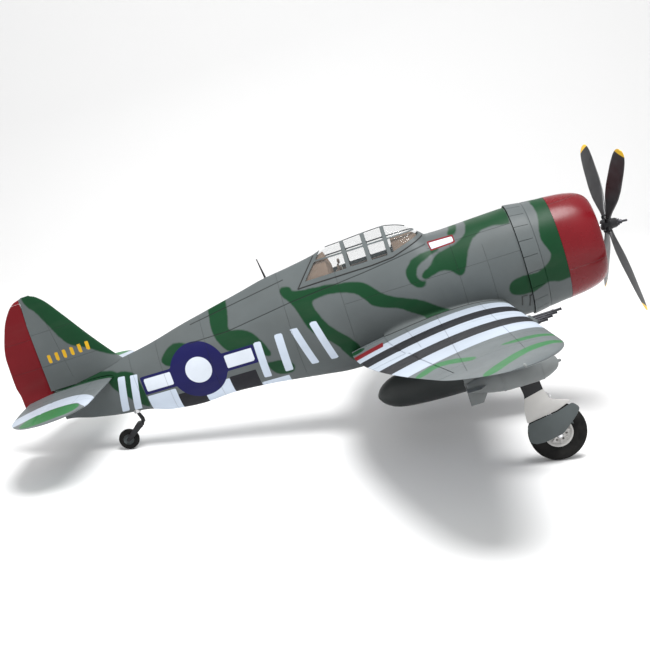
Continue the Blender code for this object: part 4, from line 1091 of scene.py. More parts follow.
def make_cowl():
    lip = []
    for station, share in COWL_LIP:
        lip.append([(-station, y, z) for _, y, z in body_loop(COWL_JOINT, BODY_SIDES, scale=share)])
    place("cowl_lip", loft(lip, ring=True), "airframe", "red_paint", "cowl", ("cowl_ring",))

    def band(rows):
        """A thin ring of skin through rows of (station, inset)."""
        rows = rows + [(s, inset + 1.6) for s, inset in reversed(rows)]
        return loft([body_loop(s, BODY_SIDES, inset) for s, inset in rows], ring=True)

    sleeve = band([(s, 0) for s in stations_between(91.4, 128, 2)] + [(129, 0.9), (150, 0.9)])
    place("cowl_sleeve", sleeve, "airframe", "camouflage", "paint", ("cowl_panel",), paint=paint_cowl)
    flare = [(s, -0.35 - 2.9 * (s - 131) / 25) for s in stations_between(133, 156.6, 2)]
    slots = []
    for turn in turns(GILLS, 0.5):
        out = Vector((0, math.cos(turn), math.sin(turn) * 1.28)).normalized()
        side = out.cross(-BACK) * 0.42
        middle = Vector((-133, 0, -12)) + out * 50
        far = middle + out * 70
        slots.append(prism([middle + side, far + side, far - side, middle - side], (-40, 0, 0)))
    gills = carve(band([(129.6, 0.05), (131, -0.35)] + flare), [joined(*slots)])
    place("cowl_gills", gills, "airframe", "camouflage", "paint", paint=paint_body)


def wing_root(x):
    """Where the wing's upper skin comes out of the body: the place along the span and the point."""
    s = 20.0
    while s < 110:
        point = WING.point(s, x, WING.height(s, x, 1))
        if abs(point.y) > body_half_width(x, point.z):
            break
        s += 0.2
    return s, point


def make_root_fairing():
    """The concave fillet over the wing root, growing towards the trailing edge."""
    front = -204
    loops = []
    for i in range(65):
        x = front - 3.2 * i
        s, point = wing_root(x)
        share = (front - x) / 205
        reach = 3.5 + 15 * share**1.6 * (1 - max(0.0, share - 0.8) ** 2 * 20)
        near = WING.point(s + reach, x, WING.height(s + reach, x, 1) + 0.15)
        far = body_side(x, point.z + reach * 0.9)
        far.y -= 0.15
        low = Vector((x, near.y, near.z - 1.2))
        inside = Vector((x, point.y + 3.5, point.z - 2))
        behind = Vector((x, far.y + 1.6, far.z))
        loops.append(bend(near, point, far, 8) + [behind, inside, low])
    both("root_fairing", loft(loops), "airframe", "camouflage", "paint", paint=paint_body)
    ridges = []
    for route in ([(-177, -77), (-174.5, -61), (-166, -61.5)], [(-165, -82), (-161.5, -63), (-158.5, -63.5)]):
        ridges.append(tube_along([body_side(x, z) for x, z in route], 1.3, 12))
    both("exhaust_vent_edges", joined(*ridges), "airframe", "camouflage", "dark")
    # A dark tube along the fillet's edge on the wing: painted shadow where the fillet meets the wing
    edge = [loop[0] + Vector((0, -0.2, 0.0)) for loop in loops]
    both("root_fillet_shadow_line", tube_along(edge, 0.9, 8), "airframe", "black_paint", "rubber_and_shadow_line")


# Engine and propeller


def make_engine():
    case = [(26, 4.6), (26, 11), (28, 14), (30, 20), (33, 24), (38, 27), (42, 27.5), (60, 27.5)]
    case += [(64, 25), (64, 4.6)]
    cylinder = [(25, 7.2)]
    for k in range(9):
        at = 26.5 + 2.1 * k
        wide = BARREL_FIN if k < 7 else HEAD_FIN
        cylinder += [(at, 6.6), (at + 0.5, wide), (at + 1.2, wide), (at + 1.6, 6.6)]
    cylinder += [(46, 6.4), (49.5, 5.4), (50, 3)]
    parts = [turned(case, BACK, 64, ring=True)]
    for turn in turns(CYLINDERS):
        out = Vector((0, math.sin(turn), math.cos(turn)))
        side = out.cross(-BACK)
        parts.append(turned(cylinder, out, 28, (-52, 0, 0)))
        for sign in (1, -1):
            foot = Vector((-34, 0, 0)) + out * 20 + side * 2.4 * sign
            parts.append(rod(foot, Vector((-42, 0, 0)) + out * 47 + side * 4.2 * sign, 1.05, 10))
        rocker = Vector((-40, 0, 0)) + out * 45
        parts.append(rod(rocker - side * 3, rocker + side * 3, 2.0, 12))
    for turn in turns(CYLINDERS, 0.5):
        spot = Vector((-31, math.sin(turn) * 17, math.cos(turn) * 17))
        parts.append(rod(spot, spot + Vector((3.4, 0, 0)), 1.3, 6))
    place("radial_engine", joined(*parts), "airframe", "gun_metal", "cast", ("dummy_engine",), at=THRUST)


# Radius, chord, thickness, pitch in degrees
BLADE = [
    (8, 8, 7, 62), (15.5, 8.5, 6.5, 60), (30, 11, 5.5, 57), (46, 16.5, 4.8, 53), (70, 24, 4, 47),
    (100, 27.5, 3.8, 41), (130, 27.5, 2.9, 36), (155, 25.5, 2.2, 33), (169, 21, 1.8, 31),
    (176, 14.5, 1.4, 30), (179, 8, 1.0, 30),
]  # fmt: skip


def blade_mesh():
    loops = []
    for radius in stations_between(8, 168, 3) + [170, 172, 174, 175.5, 176.8, 178, 179]:
        chord, thick, pitch = (spline(BLADE, radius, c) for c in (1, 2, 3))
        pitch = math.radians(pitch)
        ahead = radius * math.tan(math.radians(3))
        loop = []
        for t in turns(32):
            along = chord / 2 * math.cos(t)
            off = thick / 2 * math.sin(t) * (1 + 0.28 * math.cos(t))
            x = ahead + along * math.sin(pitch) + off * math.cos(pitch)
            y = -along * math.cos(pitch) + off * math.sin(pitch)
            loop.append((x, y, radius))
        loops.append(loop)
    return loft(loops)


def blade_radius(points):
    """Distance of points from the thrust line."""
    flat = points @ np.array(THRUST.to_3x3())
    return np.hypot(flat[:, 1], flat[:, 2])


def make_propeller():
    barrel = [(-17, 3), (-16.4, 6.6), (-14, 8.2), (-9, 8.6), (-7, 9.6), (-5, 10), (5, 10), (7, 9.4), (10, 8)]
    cuffs = [rod((0, 0, 6), (0, 0, 17), 4.9, 32, 4.2), rod((0, 0, 15.6), (0, 0, 18), 5.2, 32, 4.8)]
    cuffs += [rod((x, 0, 8), (x, 0, 16.5), 1.1, 12) for x in (3.9, -3.9)]
    parts = [turned(barrel, BACK, 48)]
    for i, turn in enumerate(turns(BLADES, 0.5)):
        spin = Matrix.Rotation(turn, 4, "X")
        parts += [moved(cuff, spin) for cuff in cuffs]
        node = f"propeller_blade_{i + 1}"
        mesh = moved(blade_mesh(), THRUST @ spin)
        place(f"blade_{i + 1}", mesh, "propeller", "black_paint", "blade", (node,), radius=blade_radius)
    place("hub_barrel", joined(*parts), "propeller", "black_paint", "black", ("propeller_hub",), at=THRUST)
    shaft = turned([(-34, 0.9), (-33.4, 1.9), (-24.4, 1.9), (-24, 1.7), (-16, 1.7)], BACK, 32)
    nut = turned([(-25, 2.6), (-24.4, 4.0), (-20.6, 4.0), (-20, 3.4)], BACK, 6)
    washer = turned([(-20.2, 2), (-20.2, 5.6), (-18.8, 5.6), (-17, 4.6), (-16.2, 4.6)], BACK, 40)
    bolts = []
    for turn in turns(8):
        spot = Vector((15.6, math.cos(turn) * 6.4, math.sin(turn) * 6.4))
        bolts.append(rod(spot, spot + Vector((1.8, 0, 0)), 0.9, 6))
    shape = joined(shaft, nut, washer, *bolts)
    place("hub_shaft_and_nut", shape, "propeller", "black_paint", "gun", at=THRUST)
    bell = [(10.4, 2.5), (66, 2.5), (66.2, 12), (67, 17), (69, 20.5), (105, 20.5), (105, 18.2), (70.5, 18.2)]
    bell = turned([*bell, (70.5, 1.5)], BACK, 48)
    place("outrunner_bell", bell, "propeller", "bright_metal", "steel", ("motor_bell",), at=THRUST)


# Canopy and cockpit


def canopy_windows():
    """Outlines of the panes, drawn in from the side."""
    panes = []
    for first, last in ((363, 391), (398, 428)):
        panes.append([(first, 68), (last, 68), (last, 91.5), (first, 91.5)])
        panes.append([(first, 94), (last, 94), (last, 130), (first, 130)])
    panes.append([(305, 83.5), (318, 80), (356.5, 69.5), (356.5, 91.5), (305, 91.5)])
    panes.append([(310, 93.6), (356.5, 93.6), (356.5, 130), (310, 130)])
    panes.append([(434.5, 67.5), (508, 66.5), (484.5, 91.5), (434.5, 91.5)])
    panes.append([(434.5, 94), (481.5, 94), (464, 113), (452, 130), (434.5, 130)])
    return [[(-s, -90, z) for s, z in pane] for pane in panes]


def soft_corners(outline, reach=2.2):
    """Rounds an outline's corners, keeping its sides."""
    points = [Vector(p) for p in outline]
    made = []
    for i, corner in enumerate(points):
        before, after = points[i - 1], points[(i + 1) % len(points)]
        start = corner + (before - corner).normalized() * reach
        end = corner + (after - corner).normalized() * reach
        made += bend(start, corner, end, 4)
    return made


def make_canopy():
    stations = stations_between(290, 330, 1.5) + stations_between(332, 525, 3)

    def skin(outside, inside):
        hollow = body_loft([280] + stations + [540], BODY_SIDES, inside)
        return carve(body_loft(stations, BODY_SIDES, outside), [hollow], glazing_prism())

    place("canopy_panes", skin(1.5, 2.5), "canopy_hatch", "canopy_clear", "glass", ("canopy_glass",))
    hoops = carve(skin(-0.25, 1.2), [prism(soft_corners(pane), (0, 180, 0)) for pane in canopy_windows()])
    place("canopy_hoops", hoops, "canopy_hatch", "camouflage", "paint", ("canopy_frame",), paint=paint_body)

    sill = [(522.5, 58.6), (483, 59.6), (433, 60.1), (395, 60.1), (356, 62.6), (334, 68.6), (312, 75)]
    sill.append((300, 79))
    rear = [(522.5, 58.6), (500, 83), (483, 101.3)]
    lines = []
    for route in (sill, rear):
        dense = []
        for (s0, z0), (s1, z1) in zip(route, route[1:]):
            dense += [body_side(-(s0 + (s1 - s0) * t), z0 + (z1 - z0) * t) for t in (i / 8 for i in range(8))]
        dense.append(body_side(-route[-1][0], route[-1][1]))
        lines.append(tube_along(dense, 1.1, 10))
    both("canopy_seal", joined(*lines), "airframe", "black_paint", "rubber_and_shadow_line")
    spine = [Vector((-s, 0, spline(BODY, s, 1) - 0.6)) for s in stations_between(322, 460, 3)]
    place("canopy_spine", tube_along(spine, 0.8, 10), "canopy_hatch", "camouflage", "door")


def make_tub():
    tub = carve(box((-454, -23, 16), (-322, 23, 62)), [box((-452, -21.4, 17.8), (-324, 21.4, 80))])
    ribs = []
    for x in range(-444, -330, 14):
        for y0, y1 in ((-21.6, -20.2), (20.2, 21.6)):
            ribs.append(box((x, y0, 19), (x + 1.6, y1, 58), 0.4))
    for y in (-19.5, 12):
        ribs.append(box((-410, y, 17.8), (-360, y + 7.5, 44), 1.0))
        for x in (-402, -392, -380, -368):
            ribs.append(turned([(0, 1.6), (2.2, 1.6)], ABOVE, 16, (x, y + 3.7, 44)))
    opening = box((-451.5, -21.4, 50), (-324.5, 21.4, 80))
    rim = carve(box((-455, -24.6, 60.5), (-320, 24.6, 62.5), 0.4), [opening])
    stick = [rod((-402, 0, 18), (-398, 0, 40), 0.9, 12), rod((-398, 0, 39), (-399.5, 0, 47), 1.8, 16)]
    shape = joined(tub, rim, *ribs, *stick)
    place("cockpit_floor_and_walls", shape, "canopy_hatch", "cockpit_tan", "tan", ("cockpit_tub",))


def make_seat():
    back = box((-450, -13, 28), (-446.6, 13, 74), 1.6, 3)
    pan = box((-447, -13, 26), (-417, 13, 29), 1.2, 3)
    sides = [box((-448, y, 27), (-428, y + 1.4, 41), 0.5) for y in (-14, 12.6)]
    post = box((-440, -8, 18.2), (-424, 8, 27), 0.8)
    shell = joined(back, pan, post, *sides)
    place("seat_shell", shell, "canopy_hatch", "cockpit_tan", "tan", ("pilot_seat",))
    cushions = [
        box((-446.4, -11, 29.2), (-419, 11, 33.5), 2.0, 4),
        box((-446.6, -11, 34), (-443, 11, 70), 1.7, 4),
        box((-447.5, -6.5, 75), (-443.5, 6.5, 83), 1.6, 3),
    ]
    straps = []
    for y in (-6, 4):
        straps.append(box((-443.2, y, 36), (-442.5, y + 2.4, 71), 0.2))
        straps.append(box((-442, y, 33.6), (-424, y + 2.4, 34.2), 0.2))
    place("seat_cushions", joined(*cushions), "canopy_hatch", "cockpit_tan", "leather")
    place("seat_belts", joined(*straps), "canopy_hatch", "cockpit_tan", "dial")


# Dials on the panel: y, z, radius
DIALS = [
    (-14, 60, 3.2), (-6, 62, 3.6), (3, 62, 3.6), (12, 60, 3.2), (-13, 50, 3.6), (-4, 51, 3.8), (5, 51, 3.6),
    (14, 50, 2.8), (-10, 41, 2.8), (0, 41, 3.0), (10, 41, 2.8),
]  # fmt: skip


def make_instruments():
    arch = [(-20.8, 34), (20.8, 34), (20.8, 60), (17, 68), (9, 72), (-9, 72), (-17, 68), (-20.8, 60)]
    board = prism([(-352, y, z) for y, z in arch], (3, 0, 0))
    sight = [box((-354, -4, 71), (-340, 4, 78), 1.2, 3), box((-351.5, -5, 18.2), (-349.5, 5, 40), 0.4)]
    rim = [(y * 1.02, z + 1.4) for y, z in arch[2:]] + [(y * 0.96, z - 1.0) for y, z in reversed(arch[2:])]
    hood = prism([(-354.5, y, z) for y, z in rim], (20, 0, 0))
    shape = joined(board, hood, *sight)
    place("instrument_board", shape, "canopy_hatch", "black_paint", "black", ("instrument_panel",))
    rims, faces = [], []
    for y, z, r in DIALS:
        bezel = [(0, r - 0.5), (0, r), (0.8, r), (0.8, r - 0.5)]
        rims.append(turned(bezel, BACK, 28, (-352, y, z), ring=True))
        faces.append(turned([(0, 0.3), (0.35, 0.3), (0.35, 0.2)], BACK, 10, (-352.2, y, z)))
        needle = [(-352.5, y - 0.22, z), (-352.5, y + 0.22, z), (-352.5, y + 0.5 + r * 0.3, z + r * 0.68)]
        faces.append(prism(needle, (-0.25, 0, 0)))
    place("dial_rims", joined(*rims), "canopy_hatch", "bright_metal", "steel")
    place("dial_needles", joined(*faces), "canopy_hatch", "white_paint", "dial")


def make_cockpit_trim():
    """The shelf before the pilot with its sight glass, and the deck behind the seat."""
    coaming = body_loft(stations_between(308, 352, 2), 96, 7.5)
    coaming = carve(coaming, keep=box((-352, -60, 66), (-308, 60, 88)))
    place("glare_shield", coaming, "canopy_hatch", "cockpit_tan", "tan")
    glass = prism([(-349, -5.5, 80), (-349, 5.5, 80), (-344, 5.5, 91), (-344, -5.5, 91)], (0.9, 0, 0.4))
    place("sight_glass", glass, "canopy_hatch", "canopy_clear", "glass")
    deck = [body_loop(s, 96, 5.0 + 26 * max(0, 466 - s) / 8) for s in stations_between(458, 512, 2)]
    deck = carve(loft(deck), keep=box((-513, -60, 62.8), (-458, 60, 120)))
    place("rear_deck", deck, "canopy_hatch", "cockpit_tan", "tan")


# Wings


# Place along the span, and the muzzle's X, of each barrel
GUNS = [(280, -152), (299.5, -162), (319, -172), (338, -182)]
# Back from the muzzle, radius: the flash hider and the bore
GUN_MUZZLE = [
    (14, 2.2), (13.5, 2.75), (11, 2.75), (10.5, 1.9), (1.5, 1.9), (1, 2.2), (0, 2.2), (0, 1.2), (8, 1.2),
]  # fmt: skip
BODY_TOOL = body_loft([157.5] + STATIONS[1:-1] + [981.2], BODY_SIDES, -0.45)


def servo_pockets():
    """Room for the aileron and flap servos, open below."""
    pockets = []
    for span, x, top in ((215, -362, -1.5), (425, -300, -0.5)):
        outline = [(span - 12.5, x - 12), (span + 12.5, x - 12), (span + 12.5, x + 12), (span - 12.5, x + 12)]
        pockets.append(loft([[WING.point(s, u, h) for s, u in outline] for h in (-40, top)]))
    return pockets


def store_rack():
    rack = [(-217, -51), (-290, -51), (-286, -90), (-281, -98), (-268, -103), (-222, -103)]
    rack += [(-217, -98), (-214, -90)]
    return rounded(side_plate(rack, STORE_Y - 3.5, STORE_Y + 3.5), 0.9, 3)


def make_wings():
    spans = stations_between(30, 560, 4) + stations_between(562, 618, 2) + [620, 622, 623.5, 624.8]
    cuts = [BODY_TOOL.copy(), FLAP.bay(end_gap=2.6), AILERON.bay(), *[well.copy() for well in WELLS]]
    wing = carve(WING.panel(spans, 72), cuts + servo_pockets())
    both("wing_skin", wing, "airframe", "camouflage", "wing", node="wing", paint=paint_wing)
    both("flap_skin", FLAP.solid(), "@_flap_body", "camouflage", "wing", node="flap", paint=paint_wing)
    aileron = AILERON.solid()
    both("aileron_skin", aileron, "@_aileron_body", "camouflage", "wing", node="aileron", paint=paint_wing)
    both("store_rack", store_rack(), "airframe", "camouflage", "store")

    barrels, collars = [], []
    collar = [(0, 2.3), (0, 5.2), (6, 4.6), (8, 3.4), (8, 2.3)]
    for y, muzzle in GUNS:
        z = WING_PLANE_Z + y * math.tan(DIHEDRAL)
        length = muzzle + 212
        tube = [(0, 2.2)] + [(length - back, r) for back, r in GUN_MUZZLE]
        barrels.append(turned(tube, -BACK, 24, (-212, -y, z)))
        collars.append(turned(collar, -BACK, 28, (-204, -y, z), ring=True))
    both("gun_barrels", joined(*barrels), "airframe", "gun_metal", "gun", node="guns")
    both("gun_collars", joined(*collars), "airframe", "camouflage", "door")

    lamp = turned([(0, 2.4), (3, 2.3), (5.5, 1.7), (6.8, 0.6)], (0.1, -1, 0.1), 20, (-258, -616.5, -18))
    both("tip_lamp", lamp, "airframe", "camouflage", "store")


# Tail


def make_tail():
    spans = [239, 238, 236.5, 235] + stations_between(232, 0, 3)
    sections = [TAIL.section(s, 56) for s in spans]
    left = [[Vector((p.x, -p.y, p.z)) for p in section] for section in reversed(sections[:-1])]
    cuts = [*both_sides(ELEVATOR.bay(1.3)), box((-1060, -12, -40), (-949, 12, 60))]
    plane = carve(loft(sections + left), cuts)
    place("tailplane_skin", plane, "airframe", "camouflage", "tail", ("tailplane",), paint=paint_tail)
    notch = [(-945, 1), (-945, -9.6), (-985, -13), (-1060, -48), (-1060, 1)]
    clear_of_rudder = loft([[(x, y, z) for x, y in notch] for z in (-20, 40)])
    half = carve(ELEVATOR.solid(3), [clear_of_rudder])
    joiner = rod((ELEVATOR_HINGE_X, -15, TAIL_Z), (ELEVATOR_HINGE_X, 15, TAIL_Z), 2.2, 20)
    shape = joined(half, moved(half, MIRROR), joiner)
    place("elevator_skins", shape, "elevators_body", "camouflage", "tail", ("elevators",), paint=paint_tail)
    heights = stations_between(16, 176, 2) + [177.5, 179, 180.5, 182, 183.2, 184.2, 185]
    fin = carve(FIN_SURFACE.panel(heights, 72), [BODY_TOOL.copy(), RUDDER.bay(1.5, 0.35)])
    place("fin_skin", fin, "airframe", "camouflage", "fin", ("fin",), paint=paint_fin)
    place("rudder_skin", RUDDER.solid(3), "rudder_body", "red_paint", "red", ("rudder",))


# Undercarriage

# Outlines of the covers: u down the leg, v forward
LEG_COVER = [
    (13, -10), (16, 8), (20, 22), (106, 11), (126, 13), (136, 30), (143, 39), (146.5, 14), (145, -8),
    (143, -34), (121, -28), (103, -18),
]  # fmt: skip
WHEEL_DOOR = [
    (144, -35), (146, -8), (148, 14), (146, 39), (158, 45), (165, 38), (175, 20), (182, 5), (181, -22),
    (177, -37), (170, -44),
]  # fmt: skip


def soft_plate(outline, low, high, reach=3.0, edge=0.45):
    """A thin plate on the leg with round corners and soft edges."""
    points = soft_corners([(u, v, 0) for u, v in outline], reach)
    return rounded(leg_plate([(p.x, p.y) for p in points], low, high), edge, 2, 50)


KNEE = (122, 15.5)


def cross_pin(u, v, half, radius, sides):
    return rod(leg_point(u, v, -half), leg_point(u, v, half), radius, sides)


def torque_link(foot, half_gap, pin, pin_half):
    """One half of the torque link: two arms from a pin on the leg out to the knee."""
    arms = [rod(leg_point(foot, 5, n), leg_point(*KNEE, 0.8 * n), 1.1, 14) for n in (-half_gap, half_gap)]
    return [*arms, cross_pin(foot, 5, pin_half, pin, 18)]


def make_main_legs():
    strut = [
        (-3, 4.6), (12, 4.6), (13, 4.0), (16, 4.0), (17, 4.5), (21, 4.5), (22, 4.0), (96, 4.0), (97, 4.6),
        (102, 4.6), (103, 4.1), (112, 4.1), (113, 4.7), (118, 4.7), (118, 2.8), (90, 2.8),
    ]  # fmt: skip
    leg = [turned(strut, LEG_DOWN, 40, LEG_PIVOT)]
    leg.append(turned([(-7, 5), (-6, 6), (6, 6), (7, 5)], RETRACT_AXIS, 40, LEG_PIVOT))
    leg.append(turned([(-12.6, 2.5), (12.6, 2.5)], RETRACT_AXIS, 24, LEG_PIVOT))
    leg.append(turned([(0, 2), (0, 5), (3, 5), (3, 2)], LEG_DOWN, 6, leg_point(24, 0, 0), ring=True))
    both("leg_strut", joined(*leg), "@_leg_body", "bright_metal", "steel", node="leg")
    upper = torque_link(108, 2.6, 1.7, 3.2)
    both("torque_arm", joined(*upper), "@_leg_body", "bright_metal", "steel")
    hose = [leg_point(u, 3.6 + 1.8 * math.sin((u - 20) / 96 * math.pi), 3.2) for u in range(20, 117, 4)]
    both("brake_line", tube_along(hose, 0.8, 10), "@_leg_body", "black_paint", "rubber_and_shadow_line")


def make_leg_covers():
    full = soft_plate(LEG_COVER, -6.7, -5.2)
    low_part = leg_block(107, 150, -60, 60, -20, 5)
    dark_part = carve(full.copy(), [low_part.copy()])
    both("leg_cover_upper", dark_part, "@_leg_body", "black_paint", "black")
    cover = [carve(full, keep=low_part)]
    cover += [rounded(leg_block(u, u + 8, -2.5, 2.5, -5.6, -4.3), 0.4) for u in (40, 95)]
    cover += [rounded(leg_block(u, u + 2.2, -9, 9, -5.4, -4.5), 0.3) for u in (60, 78, 104, 116, 132)]
    both("leg_cover", joined(*cover), "@_leg_body", "white_paint", "white", node="leg_door")


def make_sliders():
    """The sprung lower legs, with the wheel doors that they carry."""
    end = LEG_LENGTH
    slide = [(76, 2.6), (126, 2.6), (126.5, 3.6), (129, 3.6), (130, 4.2), (end - 5, 4.2), (end - 4, 5)]
    slide += [(end + 4, 5), (end + 5, 3.6)]
    stub = [(-2, 3.6), (0, 4.4), (3.6, 4.4), (4, 2.0), (24, 2.0), (24.2, 2.9), (26, 2.9)]
    lower = [turned(slide, LEG_DOWN, 40, LEG_PIVOT), turned(stub, LEFT, 32, leg_point(end, 0, 0))]
    lower += torque_link(138, 1.2, 1.6, 2.6)
    lower.append(cross_pin(*KNEE, 3.0, 1.2, 14))
    both("oleo_slider", joined(*lower), "@_slider", "bright_metal", "chrome", node="oleo")
    door = [soft_plate(WHEEL_DOOR, -8.9, -7.1, 4.0), rounded(leg_block(164, 172, -2.5, 2.5, -7.4, -4.6), 0.4)]
    door += [rounded(leg_block(156, 176, v, v + 1.8, -7.3, -6.3), 0.3) for v in (-24, -12, 12, 24)]
    both("wheel_cover", joined(*door), "@_slider", "door_paint", "door", node="wheel_door")


def make_main_wheels():
    shoulder = [(-8.5, 22.4), (-9.6, 25), (-10, 29), (-10, 33), (-9.2, 37), (-7.6, 40.4), (-5.6, 42.6)]
    tread = list(shoulder)
    for k in (-4.4, -1.6, 1.2, 4.0):
        tread += [(k - 0.9, 43.5), (k - 0.5, 42.7), (k + 0.3, 42.7), (k + 0.7, 43.8)]
    tyre = turned(tread + flipped(shoulder), LEFT, 96, MAIN_WHEEL, ring=True)
    both("tyre_tread", tyre, "@_wheel", "tyre", "tyre", node="tyre")
    disc = [(-8.5, 2.4), (-8.5, 7), (-7.6, 8.4), (-5.4, 9.6), (-4.6, 15.5), (-5.2, 17.6), (-8.4, 20.4)]
    disc.append((-8.6, 22.2))
    hub = turned(disc + flipped(disc), LEFT, 80, MAIN_WHEEL, ring=True)
    spokes, holes = [], []
    for turn in turns(8):
        out = Vector((math.cos(turn), 0, math.sin(turn)))
        for side in (-1, 1):
            start = MAIN_WHEEL + out * 8 + LEFT * 5.6 * side
            spokes.append(rod(start, MAIN_WHEEL + out * 18 + LEFT * 6.2 * side, 1.0, 12))
        turn += math.pi / 8
        spot = MAIN_WHEEL + Vector((math.cos(turn), 0, math.sin(turn))) * 12.6
        holes.append(rod(spot - LEFT * 12, spot + LEFT * 12, 1.9, 20))
    hub = carve(hub, [joined(*holes)])
    both("wheel_disc", joined(hub, *spokes), "@_wheel", "white_paint", "white", node="wheel_hub")


def make_tail_gear():
    x, z = TAIL_STEER.x, TAIL_STEER.z
    route = [(x, z + 32, 2.9), (x, z + 12, 2.9), (x + 2, z + 6, 3.2), (x + 4, z, 3.6), (x + 4, z - 5, 3.6)]
    route += [(x + 1, z - 9, 3.6), (x - 5, z - 10, 3.4)]
    loops = []
    for i, (px, pz, r) in enumerate(route):
        a, b = route[max(i - 1, 0)], route[min(i + 1, len(route) - 1)]
        loops.append(circle((px, 0, pz), Vector((b[0] - a[0], 0, b[1] - a[1])), r, 28))
    crown = [(x + 2, z - 5), (x - 8, z - 4.5), (x - 10, z - 11), (x, z - 14.5)]
    wx, wz = TAIL_WHEEL.x, TAIL_WHEEL.z
    arm = [(x + 1, z - 5.5), (x - 8, z - 5), (wx - 3.4, wz + 1.5), (wx - 1, wz - 3.5), (wx + 4, wz - 2.5)]
    arm.append((x - 1, z - 14))
    parts = [loft(loops), rounded(side_plate(crown, -8.6, 8.6), 1.2, 3)]
    parts += [rounded(side_plate(arm, a, b), 0.8, 3) for a, b in ((6.1, 8.9), (-8.9, -6.1))]
    parts += [turned([(-9.6, 1.6), (9.6, 1.6)], LEFT, 20, TAIL_WHEEL)]
    parts += [turned([(a, 2.7), (a + 1.2, 2.7)], LEFT, 6, TAIL_WHEEL) for a in (-10, 8.8)]
    place("tail_fork_casting", joined(*parts), "tail_fork", "black_paint", "black", ("tail_wheel_fork",))
    shoulder = [(-5.4, 9.4), (-5.4, 12), (-5.0, 14.8), (-4.0, 16.8), (-2, 17.8)]
    tyre = turned([*shoulder, (0, 18), *flipped(shoulder)], LEFT, 72, TAIL_WHEEL, ring=True)
    place("tail_tyre", tyre, "tail_wheel_body", "tyre", "tyre", ("tail_wheel",))
    disc = [(-4.4, 1.9), (-4.4, 4), (-2.6, 5.2), (-2.6, 8), (-5.0, 9.6)]
    hub = turned(disc + flipped(disc), LEFT, 56, TAIL_WHEEL, ring=True)
    place("tail_hub", hub, "tail_wheel_body", "tyre", "door")
    socket = [(0, 3.3), (0, 6), (1, 6.2), (23, 6.2), (24, 5.8), (24, 3.3)]
    socket = turned(socket, ABOVE, 36, (x, 0, -66), ring=True)
    place("tail_socket", socket, "airframe", "bright_metal", "steel", ("tail_wheel_bracket",))


# Stores and fittings

# Station, radius
BOMB = [
    (174, 1.2), (174.6, 2.2), (178, 2.4), (178.6, 3.4), (180, 7), (184, 10.8), (190, 14), (197, 17),
    (206, 19.2), (214, 19.9), (222, 20), (240, 20), (258, 19.6), (270, 18), (280, 16), (291, 13.2),
    (300, 10.5), (312, 7.5), (313, 5),
]  # fmt: skip
TANK = [
    (145, 2), (146, 6), (149, 11), (153, 15), (158, 19), (166, 23.4), (178, 27), (190, 30.4), (205, 33),
    (222, 34.9), (240, 35.7), (270, 35.8), (300, 35.2), (325, 34.8), (350, 34), (373, 32.8), (395, 31),
    (408, 29.3), (420, 27), (430, 23.6), (438, 19), (443.5, 14.8), (447, 11), (450, 6.5), (451.4, 4),
    (452, 2),
]  # fmt: skip


def make_tank():
    tank = turned(TANK, BACK, 96, (0, 0, TANK_Z))
    place("drop_tank", tank, "airframe", "black_paint", "dark", ("belly_tank",))
    strut = [(-205, -95), (-335, -95), (-325, -140), (-215, -140)]
    pylon = carve(rounded(side_plate(strut, -4, 4), 1.4, 3), [BODY_TOOL.copy()])
    cap = turned([(0, 5), (1.6, 5), (2.4, 4)], ABOVE, 32, (-232, 0, -133))
    seam = [(-0.9, 35.6), (-0.9, 36.5), (0.9, 36.5), (0.9, 35.6)]
    seam = turned(seam, BACK, 96, (-282, 0, TANK_Z), ring=True)
    place("tank_fittings", joined(pylon, cap, seam), "airframe", "black_paint", "dark")


def make_bombs():
    middle = (0, STORE_Y, BOMB_Z)
    parts = [turned(BOMB, BACK, 64, middle)]
    blade = [(-284, 10), (-296, 27), (-315, 27), (-315, 2), (-290, 2)]
    for turn in range(4):
        mesh = loft([[Vector((x, thick, r)) for x, r in blade] for thick in (-0.8, 0.8)])
        spin = Matrix.Translation(middle) @ Matrix.Rotation(math.pi / 2 * turn, 4, "X")
        parts.append(moved(rounded(mesh, 0.35, 2), spin))
    for at in (205, 262):
        r = spline(BOMB, at, 1)
        strap = [(at - 1.2, r - 0.5), (at - 1.2, r + 0.5), (at + 1.2, r + 0.5), (at + 1.2, r - 0.5)]
        parts.append(turned(strap, BACK, 64, middle, ring=True))
    both("bomb_casing", joined(*parts), "airframe", "camouflage", "store", node="bomb")
    braces = []
    for x in (-226, -272):
        for y in (-1, 1):
            braces.append(rod((x, STORE_Y + 3 * y, -88), (x, STORE_Y + 13 * y, -101), 1.0, 12))
            braces.append(turned([(0, 2), (1.4, 2)], (0, 0.5 * y, 0.86), 16, (x, STORE_Y + 13 * y, -102)))
    both("sway_braces", joined(*braces), "airframe", "gun_metal", "gun")


def make_mast():
    mast = [(0, 2.6), (1, 1.9), (31, 0.9), (32, 0.8), (32.6, 1.2), (34, 1.0)]
    mast = turned(mast, (-0.12, 0, 1), 24, (-572, 0, 90.6))
    place("aerial_mast", mast, "airframe", "black_paint", "black", ("antenna_mast",))


# Looks of the inside parts that aren't moulded cases
INSIDE_LOOKS = {
    "firewall": "wood", "motor_mount": "cast", "motor_stator": "cast", "battery": "label",
    "wing_spar_tube": "carbon",
}  # fmt: skip


def finish_plain_nodes():
    """Inside parts stay as they are in the CAD model and get looks of their own."""
    turn_back = AIR.inverted()
    for name, node in frame["nodes"].items():
        if node.hide_render:
            continue
        mesh = node.data
        flat = np.array([turn_back @ v.co for v in mesh.vertices], np.float32) * 0.001
        if "air" not in mesh.attributes:
            set_attribute(mesh, "air", flat.ravel(), "FLOAT_VECTOR")
        for slot in node.material_slots:
            slot.material = MATERIALS[INSIDE_LOOKS.get(name, "electronics")]


# Stage


